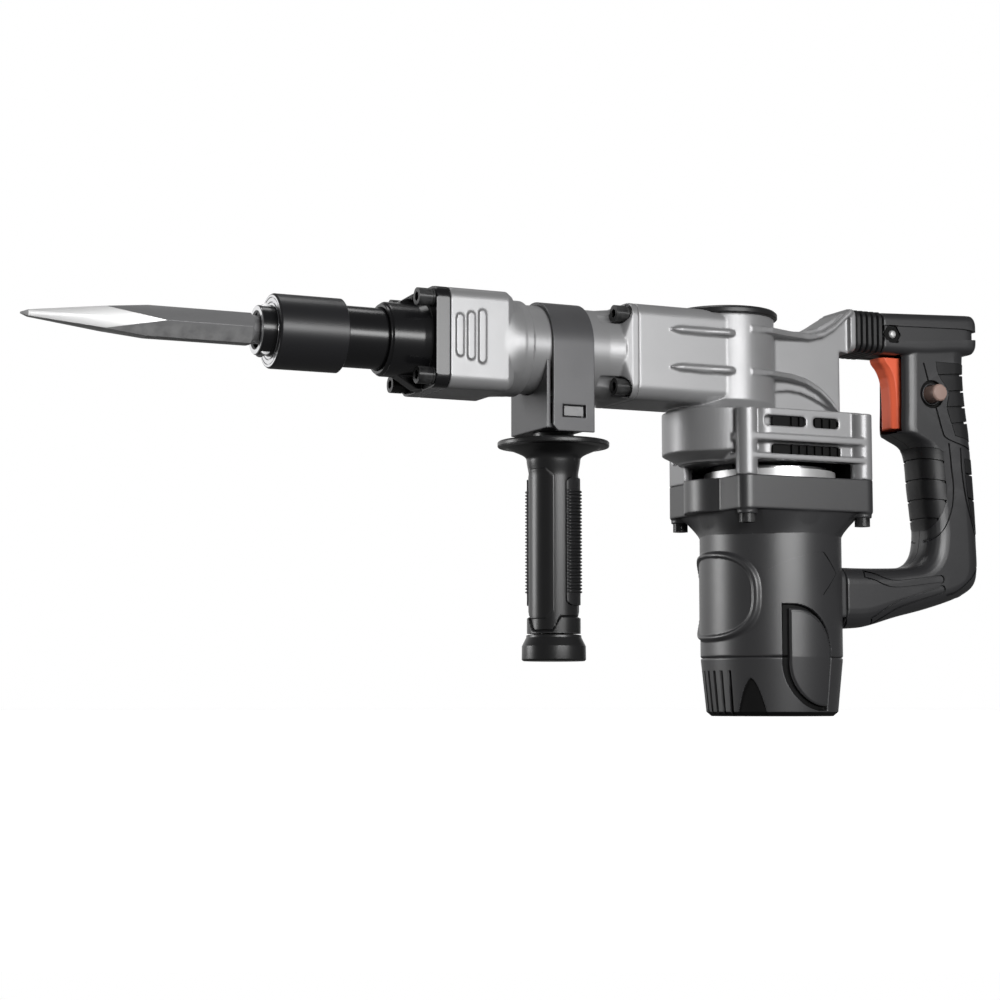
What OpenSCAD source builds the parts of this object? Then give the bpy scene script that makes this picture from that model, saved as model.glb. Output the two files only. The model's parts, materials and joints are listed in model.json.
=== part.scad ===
// Electric demolition hammer for 17 mm hexagon-shank chisels: an upright motor under a crank-driven
// percussion barrel, a swivelling side handle on the barrel and a D-shaped rear handle.
// Millimetres. +Z up, -X toward the chisel. The origin is the centre of the motor end cap's flat base.

/* [Chisel] */
// Width across the flats of the chisel's hexagon
hex_af = 17; // [14:0.5:20]
// Length of the chisel in front of the tool holder
chisel_out = 130.1; // [100:1:180]
// Length of the ground point's side facets
point_side_len = 77.5; // [50:1:90]
// Length of the ground point's top and bottom facets
point_top_len = 67.5; // [40:1:85]
// Length of the small end point
tip_len = 4; // [2:0.5:6]
// Half width of the point where the end point starts
tip_half_w = 2.1; // [1:0.1:3]
// Half height of the point where the end point starts
tip_half_h = 1.7; // [1:0.1:3]
// Radius of the turned neck behind the chisel's hexagon
neck_r = 8; // [6:0.1:8.2]
// Length of the chisel's shank inside the tool holder
shank_in = 67; // [55:1:80]
// How far the chisel slides out before its rollers stop it
chisel_travel = 18; // [5:1:18]

/* [Tool holder and sleeve] */
// Outer radius of the holder's nose
nose_r = 13.85; // [13:0.05:14.5]
// Outer radius of the holder's tube
holder_r = 17.45; // [16.5:0.05:18]
// Length of the tool holder in front of the cover
holder_out = 72.9; // [65:0.1:90]
// Length of the nose in front of the tube's shoulder
nose_len = 32.4; // [28:0.1:36]
// Outer radius of the retaining sleeve
sleeve_r = 21.05; // [19.5:0.05:24]
// Length of the retaining sleeve
sleeve_len = 40.2; // [34:0.1:46]
// Distance from the holder's front to the sleeve's front
sleeve_set = 8.2; // [7.5:0.1:10]
// Length of the sleeve's front lip
sleeve_lip = 8; // [6:0.5:10]
// How far the sleeve pulls back
sleeve_travel = 8; // [4:0.5:9]
// Radius of the locking rollers
roller_r = 3; // [2:0.1:3]
// Length of the locking rollers
roller_len = 11; // [8:0.5:14]

/* [Front cover] */
// Outer radius of the cover's barrel
cover_r = 21.2; // [20.5:0.1:24]
// Length of the cover's barrel in front of its plate
cover_len = 24.5; // [18:0.1:30]
// Thickness of the cover's square plate
plate_t = 8.7; // [6:0.1:12]
// Half width of the square plate and case
case_half_w = 27; // [26.5:0.1:30]
// Half height of the square plate and case
case_half_h = 29; // [28.5:0.1:32]
// Corner radius of the plate and case
case_corner = 7; // [4:0.5:9]
// Half spacing of the cover screws across
cover_screw_y = 20.5; // [20:0.1:22]
// Half spacing of the cover screws up and down
cover_screw_z = 22.3; // [21.5:0.1:24]

/* [Hammer case] */
// Length of the square part of the hammer case
case_box_len = 40; // [34:0.5:42]
// Length of the round shoulder behind the square part
case_shoulder_len = 2; // [1:0.5:6]
// Outer radius of the barrel
barrel_r = 26; // [25.5:0.1:28]
// Radius of the raised ring on the barrel
ring_r = 28.1; // [27:0.1:29]
// Length of the raised ring
ring_len = 6; // [4:0.5:8]
// Length of the whole hammer case
case_len = 118.8; // [110:0.1:130]
// Thickness of the rear flange
case_flange_t = 3.5; // [3:0.1:6]
// Length of the flare in front of the rear flange
flare_len = 14; // [10:0.5:20]
// Half spacing of the case screws across
case_screw_y = 21; // [20:0.1:22]
// Half spacing of the case screws up and down
case_screw_z = 21.6; // [21:0.1:23]

/* [Percussion] */
// Bore radius of the cylinder liner
liner_bore_r = 19; // [17:0.1:19.5]
// Wall of the cylinder liner
liner_wall = 3; // [2:0.1:3]
// Length of the piston
piston_len = 47; // [40:1:52]
// Thickness of the piston's crown
piston_crown = 5; // [4:0.5:7]
// Radius of the crank throw
crank_throw = 9; // [5:0.5:9]
// Distance between the connecting rod's eyes
rod_len = 66; // [60:1:72]
// Length of the ram's body
ram_len = 24; // [18:1:28]
// How far the ram flies back from its front position
ram_travel = 16; // [8:1:16]
// Radius of the impact bolt's body
bolt_r = 12; // [11:0.1:13]
// Radius of the impact bolt's stems
bolt_stem_r = 8.4; // [7:0.1:8.4]
// How far the impact bolt is pushed back
bolt_travel = 3; // [1:0.5:3]

/* [Gears] */
// Gear module
gear_module = 1; // [0.8:0.1:1]
// Teeth of the armature pinion
pinion_teeth = 10; // [10:2:12]
// Teeth of the crank gear
gear_teeth = 54; // [48:2:54]
// Face width of the gears
gear_face = 12; // [8:1:13]

/* [Gearcase] */
// Distance from the motor axis to the gearcase's front face
gearcase_front = 104.5; // [98:0.1:112]
// Half width of the gearcase box
box_half_w = 28; // [27:0.1:30]
// Half height of the gearcase box
box_half_h = 28.6; // [27.5:0.1:30]
// Corner radius of the gearcase box
box_corner = 8; // [5:0.5:10]
// Outer radius of the crank housing
crank_house_r = 31; // [30.5:0.1:33]
// Height of the crank housing above the barrel axis
crank_house_h = 26.5; // [26:0.1:30]
// Outer radius of the gear drum
drum_r = 37.5; // [34:0.1:40]
// Height of the gear drum's straight wall
drum_h = 25.5; // [20:0.1:28]
// Height of the drum's conical underside
drum_cone_h = 6.5; // [4:0.1:7]
// Wall thickness of the castings
cast_wall = 4; // [3:0.1:4.5]
// Distance from the barrel axis down to the gearcase deck
deck_drop = 31; // [30:0.1:33]
// Height of the vent cage between the deck and the motor flange
cage_h = 41; // [39:0.1:46]
// Half width of the vent cage's panels
cage_half = 41; // [38:0.5:43]
// Thickness of the rear web
web_half_w = 14; // [11:0.5:17]
// Distance from the motor axis to the rear web's edge
web_x = 43; // [40:0.5:44]
// Outer radius of the cap over the crank housing
cap_r = 33.2; // [31.5:0.1:35]
// Thickness of the cap over the crank housing
cap_t = 4.5; // [3:0.1:6]

/* [Motor] */
// Outer radius of the motor housing
motor_r = 43; // [42.5:0.1:46]
// Wall of the motor housing
motor_wall = 3.5; // [3:0.1:4]
// Height of the end cap
end_cap_h = 35; // [32:0.5:38]
// Radius of the end cap's flat base
base_r = 36.7; // [34:0.1:39]
// Height of the underside of the motor flange
flange_z = 121.5; // [118:0.5:130]
// Thickness of the motor flange
flange_t = 20; // [16:0.5:24]
// Half spacing of the flange screws across
flange_screw_x = 40; // [39.5:0.1:41]
// Half spacing of the flange screws in depth
flange_screw_y = 40.5; // [40:0.1:42]
// Radius of the flange's corners and the cage's posts
post_r = 6.5; // [5.5:0.1:7]
// Radius of the armature core
core_r = 25; // [22:0.5:26]
// Length of the armature core and the stator
core_len = 50; // [40:1:54]
// Radius of the armature shaft
shaft_r = 6; // [5:0.1:6]

/* [Side handle] */
// Distance from the motor axis to the side handle
side_x = 146.7; // [144:0.1:150]
// Width of the clamp strap
strap_w = 26.2; // [20:0.1:30]
// Thickness of the clamp strap
strap_t = 2.2; // [1.5:0.1:2.6]
// Depth of the strap's legs below the barrel axis
strap_leg = 50.3; // [46:0.1:52]
// Radius of the guard disc
guard_r = 32.8; // [28:0.1:38]
// Radius of the side grip
grip_r = 14.4; // [12.5:0.1:16]
// Length of the side handle below its bracket
side_len = 128.5; // [115:0.5:140]
// Angle of the side grip's ribbed pads from the barrel
pad_angle = -53; // [-90:1:90]
// Radius of the side grip's end
pommel_r = 18.7; // [16.5:0.1:21]

/* [Rear handle] */
// Half width of the rear handle's top bar
bar_half_w = 18; // [17.5:0.1:20]
// Distance from the motor axis to the end plate's rear face
plate_x = 53.3; // [52:0.1:56]
// Length of the rubber boot between the end plate and the handle
boot_len = 20; // [16:0.5:22]
// Distance from the motor axis to the handle's rear
handle_rear = 146.5; // [146:0.5:150]
// Top of the handle above the barrel axis
bar_top = 37.5; // [36.5:0.1:40]
// Underside of the handle's top bar above the barrel axis
bar_bottom = 12; // [11:0.1:13]
// How much higher the bar's top is at its rear end
bar_rise = 3; // [0:0.5:4]
// Travel of the trigger in degrees
trigger_angle = 7; // [3:1:7]
// Radius of the lock button
button_r = 5.5; // [4.5:0.1:7]
// How far the lock button sinks
button_travel = 2.5; // [1:0.5:3]

/* [Clearances] */
// Radial clearance of running fits
run_gap = 0.05; // [0.03:0.01:0.08]
// Clearance between moving pieces that do not fit closely
free_gap = 0.3; // [0.3:0.05:0.35]
// Radial clearance of screws in their holes
screw_gap = 0.2; // [0.1:0.05:0.3]

/* [Fasteners] */
// Radius of the M6 screws
m6_r = 3; // [2.5:0.1:3]
// Head radius of the M6 screws
m6_head_r = 5; // [4.5:0.1:5]
// Head height of the M6 screws
m6_head_h = 7; // [5:0.5:8]
// Thickness of the spring washer and washer pair under a head
washer_t = 2.6; // [1.5:0.1:3]
// Radius of the small shell screws
m4_r = 2; // [1.5:0.1:2]
// Head radius of the small shell screws
m4_head_r = 3.6; // [3:0.1:3.8]

/* [Hidden] */
$fn = 64;
hull_fn = 32;
eps = 0.01;
axis_z = flange_z + flange_t + cage_h + deck_drop;
flange_top = flange_z + flange_t;
deck_z = axis_z - deck_drop;
crank_x = -gear_module * (pinion_teeth + gear_teeth) / 2;
gear_front_x = -gearcase_front;
case_front_x = gear_front_x - case_len;
cover_front_x = case_front_x - plate_t - cover_len;
nose_x = cover_front_x - holder_out;
shoulder_x = nose_x + nose_len;
chisel_rear_x = nose_x + shank_in;
chisel_tip_x = nose_x - chisel_out;
hex_r = hex_af / sqrt(3);
hex_front_x = nose_x - 3.2;
socket_x = nose_x + 12;
roller_x = nose_x + 4.2;
roller_z = neck_r + free_gap + roller_r;
neck_end_x = roller_x + roller_r + chisel_travel + free_gap;
sleeve_x = nose_x + sleeve_set;
holder_rear_x = case_front_x + 8;
holder_flange_r = 23;
stop_t = 9;
damper_t = 5.5;
stop_r = 20.5;
stop_x = holder_rear_x;
damper_x = stop_x + stop_t;
liner_x = damper_x + damper_t;
liner_r = liner_bore_r + liner_wall;
liner_rear_x = gear_front_x + 16;
pin_x = crank_x + crank_throw;
wrist_x = pin_x - rod_len;
piston_rear_x = wrist_x + 9;
piston_x = piston_rear_x - piston_len;
ram_rear_x = piston_x - 2 * crank_throw - ram_travel - 2;
ram_x = ram_rear_x - ram_len;
ram_nose_len = 7.5;
ram_nose_x = ram_x - ram_nose_len;
bolt_front_x = chisel_rear_x + 0.5;
bolt_rear_x = ram_nose_x - bolt_travel - 0.5;
bolt_body_x = bolt_front_x + 16;
bolt_body_end = stop_x - bolt_travel - 0.5;
piston_gap_r = liner_bore_r - run_gap;
drum_z = deck_z - drum_h;
drum_floor_z = drum_z - drum_cone_h;
gear_z = drum_z + 1.5;
gear_top = gear_z + gear_face;
web_z = axis_z - 18;
web_t = 8;
rod_half_t = 6;
crank_pin_r = 6;
crank_shaft_r = 8.5;
crank_bearing_r = 17.5;
crank_bearing_t = 9;
lower_bearing_r = 11;
lower_shaft_r = 5.5;
plate_top = flange_top + 6.5;
bearing_plate_r = 40;
upper_bearing_r = 14;
base_bearing_r = 11;
base_bearing_t = 7;
base_bearing_z = 15;
tail_shaft_r = 4;
core_z = 61;
commutator_z = 38;
commutator_h = 13;
commutator_r = 13;
brush_z = commutator_z + commutator_h / 2;
brush_half = 3.5;
fan_z = flange_z + 2;
fan_h = 11;
fan_r = 34;
stator_out_r = motor_r - motor_wall - 0.05;
stator_in_r = core_r + 0.7;
side_ax = -side_x;
strap_r = barrel_r + run_gap + strap_t;
bracket_z = axis_z - strap_leg + 1.8;
bracket_t = 2.5;
guard_top = axis_z - strap_leg - 3.2;
stud_r = 4;
nut_half = 6;
nut_half_h = 2.7;
case_edge = 4;
arm_z = axis_z - 141.2;
arm_peg_x = 36;
arm_peg_len = 20;
arm_peg_half = [9, 12];
bar_x = plate_x + boot_len;
bar_mid = (bar_top + bar_bottom) / 2;
trigger_half_w = 8;
trigger_pivot = [95, 7];
trigger_pin_r = 1.5;
button_x = 109.4;
button_z = -12.1;
button_out = 26;
button_floor = 14;
grip_half_w = 16.8;
skin = 2.2;
bar_half = (bar_top - bar_bottom) / 2;
seal_wire = 1.3;
ram_seal_x = ram_rear_x - 6;
piston_seal_x = piston_x + 3;
rod_eye_r = 6.4;
big_eye_r = crank_pin_r + 5;
wrist_r = 3.2;
wrist_half = 9.5;
slot_z = axis_z - 38.6;
neck_z = guard_top - 15;
grip_top = neck_z - 7;
grip_end = axis_z - strap_leg - side_len + 27;
pommel_z = axis_z - strap_leg - side_len - 2.7;
pommel_h = 15;
nut_socket_z = guard_top - 24;
nut_socket_h = 8;
brush_skin = 2.4;
shell_wall = 3;
yoke_half = 6;
yoke_bolt = [80.5, 24];
hex_recess_r = 6.6;
hex_floor_y = bar_half_w - 3.6;
gland_r = 5;
gland_at = [128, -124];
gland_out = 12;
HANDLE_SCREWS = [[134, 22], [129, -44], [133, -118], [84, -136]];

// Inner and outer edge of the rear grip's sections from the top bar to the motor, as [x, z, x, z]
// measured from the motor axis and the barrel axis, and the front corners' radius where it is smaller.
grip_corner = 11.5;
GRIP = [
    [88.6, 16, 138.5, 18, 3], [88.5, 0, 138, 0, 3], [88.3, -18, 139.4, -18, 3], [88, -35, 141.6, -34, 3.5],
    [91, -38.2, 142, -39, 6], [101.5, -43.5, 142.8, -45, 10], [104.8, -52, 143.4, -54],
    [106.5, -70, 144.6, -72], [108.6, -87, 145.6, -90], [109.6, -99, 146.2, -107],
    [108, -110, 146.3, -122], [104, -116.5, 143, -132.5], [97.5, -120.2, 131, -139.8],
    [88, -121.6, 109, -146.8], [75, -122.2, 85, -152.6], [60, -122.5, 62, -158.8],
    [44.5, -122.5, 44.5, -160]
];

// ---------- shared shapes ----------

// A cylinder along X at the barrel's height, or at offset y and z from the barrel axis.
module rod_x(x0, x1, r, y = 0, z = 0) {
    translate([x0, y, axis_z + z]) rotate([0, 90, 0]) cylinder(h = x1 - x0, r = r);
}

// A cone along X at the barrel's height.
module cone_x(x0, x1, r0, r1) {
    translate([x0, 0, axis_z]) rotate([0, 90, 0]) cylinder(h = x1 - x0, r1 = r0, r2 = r1);
}

// A hexagonal bar along X with its flats above and below.
module hex_x(x0, x1, af) {
    translate([x0, 0, axis_z]) rotate([0, 90, 0]) rotate([0, 0, 30])
        cylinder(h = x1 - x0, r = af / sqrt(3), $fn = 6);
}

// A rectangle with round corners, centred.
module round_rect(half_w, half_h, r) {
    square([2 * (half_w - r), 2 * half_h], center = true);
    square([2 * half_w, 2 * (half_h - r)], center = true);
    for (i = [-1, 1], j = [-1, 1]) translate([i * (half_w - r), j * (half_h - r)]) circle(r);
}

// A bar along X with the rounded rectangle as its section.
module box_x(x0, x1, half_w, half_h, r, z = 0) {
    translate([x0, 0, axis_z + z]) rotate([90, 0, 90])
        linear_extrude(x1 - x0) round_rect(half_w, half_h, r);
}

// A plate in the XZ plane, centred on y = 0, drawn with z measured from the barrel axis.
module side_plate(half_w) {
    translate([0, half_w, axis_z]) rotate([90, 0, 0]) linear_extrude(2 * half_w) children();
}

// The children at the four corners of a rectangle in the YZ plane at x.
module at_corners_x(x, y, z) {
    for (i = [-1, 1], j = [-1, 1]) translate([x, i * y, axis_z + j * z]) children();
}

// The children at the four flange screws, z up.
module at_flange_corners(z) {
    for (i = [-1, 1], j = [-1, 1]) translate([i * flange_screw_x, j * flange_screw_y, z]) children();
}

// A socket cap screw along +X whose head starts at x = 0 and faces -X.
module cap_screw_x(shank) {
    rotate([0, 90, 0]) difference() {
        union() {
            cylinder(h = m6_head_h, r = m6_head_r);
            cylinder(h = m6_head_h + shank, r = m6_r);
        }
        translate([0, 0, -eps]) cylinder(h = m6_head_h * 0.6, r = m6_r * 0.95, $fn = 6);
    }
}

// A ring with a plain bore.
module ring(r_out, r_in, h) {
    difference() {
        cylinder(h = h, r = r_out);
        translate([0, 0, -eps]) cylinder(h = h + 2 * eps, r = r_in);
    }
}

// A torus of wire radius t around Z.
module wire_ring(r, t) {
    rotate_extrude() translate([r, 0]) circle(t, $fn = 24);
}

// Points of a gear's outline with straight-flanked teeth; the first tooth points along +X.
function gear_points(teeth, m) =
    let (r = m * teeth / 2, ra = r + 0.85 * m, rf = r - 1.2 * m, step = 360 / teeth)
    [for (i = [0 : teeth - 1],
        p = [[-0.32, rf], [-0.17, r], [-0.075, ra], [0.075, ra], [0.17, r], [0.32, rf]])
        let (a = (i + p[0]) * step) [p[1] * cos(a), p[1] * sin(a)]];

// Points of a rounded rectangle in section coordinates, u in -1..1 along the depth, v along the width.
// The corners at u = -1 have radius front_r, the others rear_r.
function section_points(half_d, half_w, front_r, rear_r, n) =
    [for (q = [0 : 3], k = [0 : n])
        let (a = 90 * q + 90 * k / n, su = (q == 0 || q == 3) ? 1 : -1, sv = (q < 2) ? 1 : -1,
             r = su > 0 ? rear_r : front_r)
        [su * (half_d - r) + r * cos(a), sv * (half_w - r) + r * sin(a)]];

// One section of the rear grip as points in space, shrunk by inset.
function grip_section(g, half_w, inset, n) =
    let (dx = g[2] - g[0], dz = g[3] - g[1], len = sqrt(dx * dx + dz * dz),
         cx = (g[0] + g[2]) / 2, cz = (g[1] + g[3]) / 2, half_d = len / 2 - inset,
         w = half_w - inset, rear_r = min(grip_corner - inset, half_d - 0.5, w - 0.5),
         front_r = min(rear_r, max(len(g) > 4 ? g[4] - inset : rear_r, 0.6)))
    [for (p = section_points(half_d, w, front_r, rear_r, n))
        [cx + p[0] * dx / len, p[1], axis_z + cz + p[0] * dz / len]];

// A solid through a list of sections with equal point counts.
module loft(sections) {
    n = len(sections[0]);
    m = len(sections);
    polyhedron(
        points = [for (s = sections) each s],
        faces = concat(
            [[for (i = [n - 1 : -1 : 0]) i]],
            [for (k = [0 : m - 2], i = [0 : n - 1])
                [k * n + i, (k + 1) * n + (i + 1) % n, (k + 1) * n + i]],
            [for (k = [0 : m - 2], i = [0 : n - 1])
                [k * n + i, k * n + (i + 1) % n, (k + 1) * n + (i + 1) % n]],
            [[for (i = [0 : n - 1]) (m - 1) * n + i]]));
}

// The whole D-shaped grip and lower arm, shrunk by inset.
module grip_form(inset = 0) {
    loft([for (g = GRIP) grip_section(g, grip_half_w, inset, 5)]);
}

// ---------- chisel and tool holder ----------

module chisel() {
    point_x = chisel_tip_x + tip_len;
    end_half = 0.4;
    facet_x = point_x + point_top_len - tip_len;
    side_x1 = chisel_tip_x + point_side_len;
    color("dimgray") {
        intersection() {
            hex_x(chisel_tip_x, hex_front_x, hex_af);
            side_plate(hex_af) polygon([
                [chisel_tip_x, end_half], [point_x, tip_half_h], [facet_x, hex_af / 2],
                [hex_front_x, hex_af / 2], [hex_front_x, -hex_af / 2], [facet_x, -hex_af / 2],
                [point_x, -tip_half_h], [chisel_tip_x, -end_half]]);
            translate([0, 0, axis_z - hex_af]) linear_extrude(2 * hex_af) polygon([
                [chisel_tip_x, end_half], [point_x, tip_half_w], [side_x1, hex_r],
                [hex_front_x, hex_r], [hex_front_x, -hex_r], [side_x1, -hex_r],
                [point_x, -tip_half_w], [chisel_tip_x, -end_half]]);
            cone_x(chisel_tip_x - eps, hex_front_x, hex_r + hex_front_x - chisel_tip_x, neck_r + 0.6);
        }
        rod_x(hex_front_x - eps, neck_end_x, neck_r);
        hex_x(neck_end_x - eps, chisel_rear_x, hex_af);
    }
}

module tool_holder() {
    mouth_r = hex_r + 0.25;
    color([0.09, 0.09, 0.1]) difference() {
        union() {
            rod_x(nose_x, shoulder_x + eps, nose_r);
            rod_x(shoulder_x, case_front_x + eps, holder_r);
            rod_x(case_front_x, holder_rear_x, holder_flange_r);
        }
        rod_x(nose_x - eps, socket_x, mouth_r);
        cone_x(nose_x - eps, nose_x + 1.2, mouth_r + 1.2, mouth_r);
        hex_x(socket_x - eps, chisel_rear_x + 1, hex_af + 0.3);
        rod_x(chisel_rear_x, bolt_body_x, bolt_stem_r + run_gap);
        rod_x(bolt_body_x - 2, holder_rear_x + eps, bolt_r + run_gap);
        for (s = [-1, 1]) translate([roller_x, 0, axis_z + s * roller_z])
            rotate([90, 0, 0]) cylinder(h = roller_len + 0.2, r = roller_r + run_gap, center = true);
        for (s = [-1, 1]) translate([roller_x - roller_r - run_gap, -roller_len / 2 - 0.1,
                s > 0 ? axis_z + roller_z : axis_z - roller_z - nose_r])
            cube([2 * (roller_r + run_gap), roller_len + 0.2, nose_r]);
    }
}

module locking_rollers() {
    color("lightgray") for (s = [-1, 1]) translate([roller_x, 0, axis_z + s * roller_z])
        rotate([90, 0, 0]) cylinder(h = roller_len, r = roller_r, center = true);
}

module retainer_sleeve() {
    edge = 1;
    back = 5;
    groove_r = (nose_r + sleeve_r) / 2;
    color([0.16, 0.16, 0.17]) translate([sleeve_x, 0, axis_z]) rotate([0, 90, 0]) difference() {
        rotate_extrude() difference() {
            union() {
                square([sleeve_r - edge, sleeve_len]);
                translate([0, edge]) square([sleeve_r, sleeve_len - edge - back]);
                translate([sleeve_r - edge, edge]) circle(edge);
                translate([0, sleeve_len - back]) square([sleeve_r - back, back]);
                translate([sleeve_r - back, sleeve_len - back]) circle(back);
            }
            translate([-2 * sleeve_r, -sleeve_len]) square([2 * sleeve_r, 3 * sleeve_len]);
            translate([-eps, -eps]) square([nose_r + run_gap + eps, sleeve_len]);
            translate([-eps, sleeve_lip]) square([holder_r + run_gap + eps, sleeve_len]);
            translate([groove_r, -eps]) square([0.8, 0.8]);
        }
    }
}

module sleeve_spring() {
    turns = 3.5;
    wire = 0.9;
    mean_r = (nose_r + holder_r) / 2;
    x0 = sleeve_x + sleeve_lip + wire + free_gap;
    x1 = shoulder_x - wire - free_gap;
    steps = 16;
    n = turns * steps;
    sides = 8;
    color("silver") loft([for (k = [0 : n])
        let (a = 360 * k / steps, x = x0 + (x1 - x0) * k / n)
        [for (i = [0 : sides - 1])
            let (b = 360 * i / sides, r = mean_r + wire * cos(b))
            [x + wire * sin(b), r * cos(a), axis_z + r * sin(a)]]]);
}

// ---------- front cover and hammer case ----------

module front_cover() {
    plate_x0 = case_front_x - plate_t;
    flare = 5;
    groove = 1.5;
    color([0.07, 0.07, 0.08]) difference() {
        union() {
            box_x(plate_x0, case_front_x, case_half_w, case_half_h, case_corner);
            rod_x(cover_front_x + groove, plate_x0 + eps, cover_r);
            rod_x(cover_front_x, cover_front_x + groove + eps, cover_r - 1);
            cone_x(plate_x0 - flare, plate_x0 + eps, cover_r - eps, cover_r + 2);
            // Gussets from the barrel to the plate above and below.
            for (s = [-1, 1]) translate([0, 5, axis_z]) rotate([90, 0, 0]) linear_extrude(10)
                polygon([[cover_front_x + 7, s * (cover_r - 2)], [plate_x0 + eps, s * (cover_r - 2)],
                    [plate_x0 + eps, s * (case_half_h - 1)], [plate_x0 - 3, s * (case_half_h - 1)]]);
        }
        rod_x(cover_front_x - eps, case_front_x + eps, holder_r + run_gap);
        cone_x(cover_front_x - eps, cover_front_x + 1.5, holder_r + 1.5, holder_r);
        at_corners_x(plate_x0 - eps, cover_screw_y, cover_screw_z) rotate([0, 90, 0])
            cylinder(h = plate_t + 2 * eps, r = m6_r + screw_gap);
        at_corners_x(plate_x0 - flare - eps, cover_screw_y, cover_screw_z) rotate([0, 90, 0])
            cylinder(h = flare + eps, r = m6_head_r + free_gap);
    }
}

module front_cover_screws() {
    color("black") at_corners_x(case_front_x - plate_t - washer_t - m6_head_h, cover_screw_y, cover_screw_z)
        cap_screw_x(washer_t + plate_t + 12);
}

module washers_x(x) {
    gap = 0.02;
    translate([x, 0, 0]) rotate([0, 90, 0]) {
        translate([0, 0, gap]) ring(m6_head_r - 0.3, m6_r + 0.05, washer_t * 0.6 - gap);
        translate([0, 0, washer_t * 0.6 + gap]) ring(m6_head_r + 0.2, m6_r + 0.05, washer_t * 0.4 - gap);
    }
}

module front_cover_washers() {
    color("dimgray") at_corners_x(case_front_x - plate_t - washer_t, cover_screw_y, cover_screw_z)
        washers_x(0);
}

module hammer_case() {
    box_end = case_front_x + case_box_len;
    ring_x = box_end + case_shoulder_len + 4;
    flange_x = gear_front_x - case_flange_t;
    color([0.72, 0.72, 0.73]) difference() {
        union() {
            box_x(case_front_x, box_end - case_edge, case_half_w, case_half_h, case_corner);
            hull() {
                box_x(box_end - case_edge - 1, box_end - case_edge, case_half_w, case_half_h, case_corner,
                    $fn = hull_fn);
                box_x(box_end - case_edge / 3, box_end, case_half_w - case_edge / 2,
                    case_half_h - case_edge / 2, case_corner, $fn = hull_fn);
            }
            cone_x(box_end - eps, ring_x, barrel_r + 1.2, barrel_r + 0.4);
            rod_x(box_end, flange_x + eps, barrel_r);
            rod_x(ring_x, ring_x + ring_len, ring_r);
            cone_x(flange_x - flare_len, flange_x - 4, barrel_r - eps, barrel_r + 1.2);
            hull() {
                rod_x(flange_x - flare_len / 2, flange_x - flare_len / 2 + 0.5, barrel_r - 0.5,
                    $fn = hull_fn);
                box_x(flange_x - 0.5, flange_x + 0.5, box_half_w, box_half_h, box_corner, $fn = hull_fn);
            }
            box_x(flange_x, gear_front_x, box_half_w, box_half_h, box_corner);
            // Three raised ribs on each side face.
            for (s = [-1, 1], i = [0 : 2])
                translate([case_front_x + 5.5 + 6.8 * i, s * case_half_w, axis_z + 0.9])
                rotate([90, 0, 0]) translate([0, 0, -1]) linear_extrude(2)
                    round_rect(2.2, 12 + 1.6 * i, 2.19);
        }
        rod_x(case_front_x - eps, holder_rear_x, holder_flange_r + 0.02);
        rod_x(case_front_x - eps, liner_x, stop_r + 0.02);
        rod_x(liner_x - eps, gear_front_x + eps, liner_r + 0.02);
        at_corners_x(case_front_x - eps, cover_screw_y, cover_screw_z) rotate([0, 90, 0])
            cylinder(h = 14, r = m6_r + 0.02);
        at_corners_x(flange_x - 1, case_screw_y, case_screw_z) rotate([0, 90, 0])
            cylinder(h = case_flange_t + 2, r = m6_r + screw_gap);
        at_corners_x(flange_x - flare_len - 4, case_screw_y, case_screw_z) rotate([0, 90, 0])
            cylinder(h = flare_len + 4, r = m6_head_r + 1);
    }
}

module hammer_case_screws() {
    color("black")
        at_corners_x(gear_front_x - case_flange_t - washer_t - m6_head_h, case_screw_y, case_screw_z)
        cap_screw_x(washer_t + case_flange_t + 12);
}

module hammer_case_washers() {
    color("dimgray") at_corners_x(gear_front_x - case_flange_t - washer_t, case_screw_y, case_screw_z)
        washers_x(0);
}

// ---------- percussion parts ----------

module cylinder_liner() {
    color("silver") difference() {
        rod_x(liner_x, liner_rear_x, liner_r);
        rod_x(liner_x - eps, liner_rear_x + eps, liner_bore_r);
        for (s = [-1, 1]) translate([piston_x - 10, 0, axis_z + s * liner_bore_r - s * 2])
            cylinder(h = 12, r = 2, center = true);
    }
}

module stop_ring() {
    color("slategray") difference() {
        rod_x(stop_x, stop_x + stop_t, stop_r);
        rod_x(stop_x - eps, stop_x + stop_t + eps, bolt_stem_r + run_gap);
    }
}

module damper_ring() {
    color([0.15, 0.15, 0.15]) difference() {
        rod_x(damper_x, damper_x + damper_t - 0.1, stop_r);
        rod_x(damper_x - eps, liner_x + eps, bolt_stem_r + 3);
    }
}

module impact_bolt() {
    color("lightsteelblue") {
        rod_x(bolt_front_x, bolt_body_x + eps, bolt_stem_r);
        rod_x(bolt_body_x, bolt_body_end, bolt_r);
        rod_x(bolt_body_end - eps, bolt_rear_x, bolt_stem_r);
    }
}

// A turned body along X with a square seal groove cut into it.
module grooved_x(x0, x1, r, groove_x, wire) {
    side = 0.04;
    difference() {
        rod_x(x0, x1, r);
        translate([groove_x - wire - side, 0, axis_z]) rotate([0, 90, 0])
            ring(r + 1, r - 2 * wire - side, 2 * (wire + side));
    }
}

module ram() {
    color("silver") {
        grooved_x(ram_x, ram_rear_x, piston_gap_r, ram_seal_x, seal_wire);
        rod_x(ram_nose_x, ram_x + eps, 9);
    }
}

module seal_x(x) {
    translate([x, 0, axis_z]) rotate([0, 90, 0])
        wire_ring(piston_gap_r - seal_wire, seal_wire - 0.03);
}

module ram_seal() {
    color([0.1, 0.1, 0.1]) seal_x(ram_seal_x);
}

module piston() {
    skirt_wall = 2.4;
    color("gainsboro") difference() {
        grooved_x(piston_x, piston_rear_x, piston_gap_r, piston_seal_x, seal_wire);
        rod_x(piston_x + piston_crown, piston_rear_x + eps, piston_gap_r - skirt_wall);
    }
}

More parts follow.
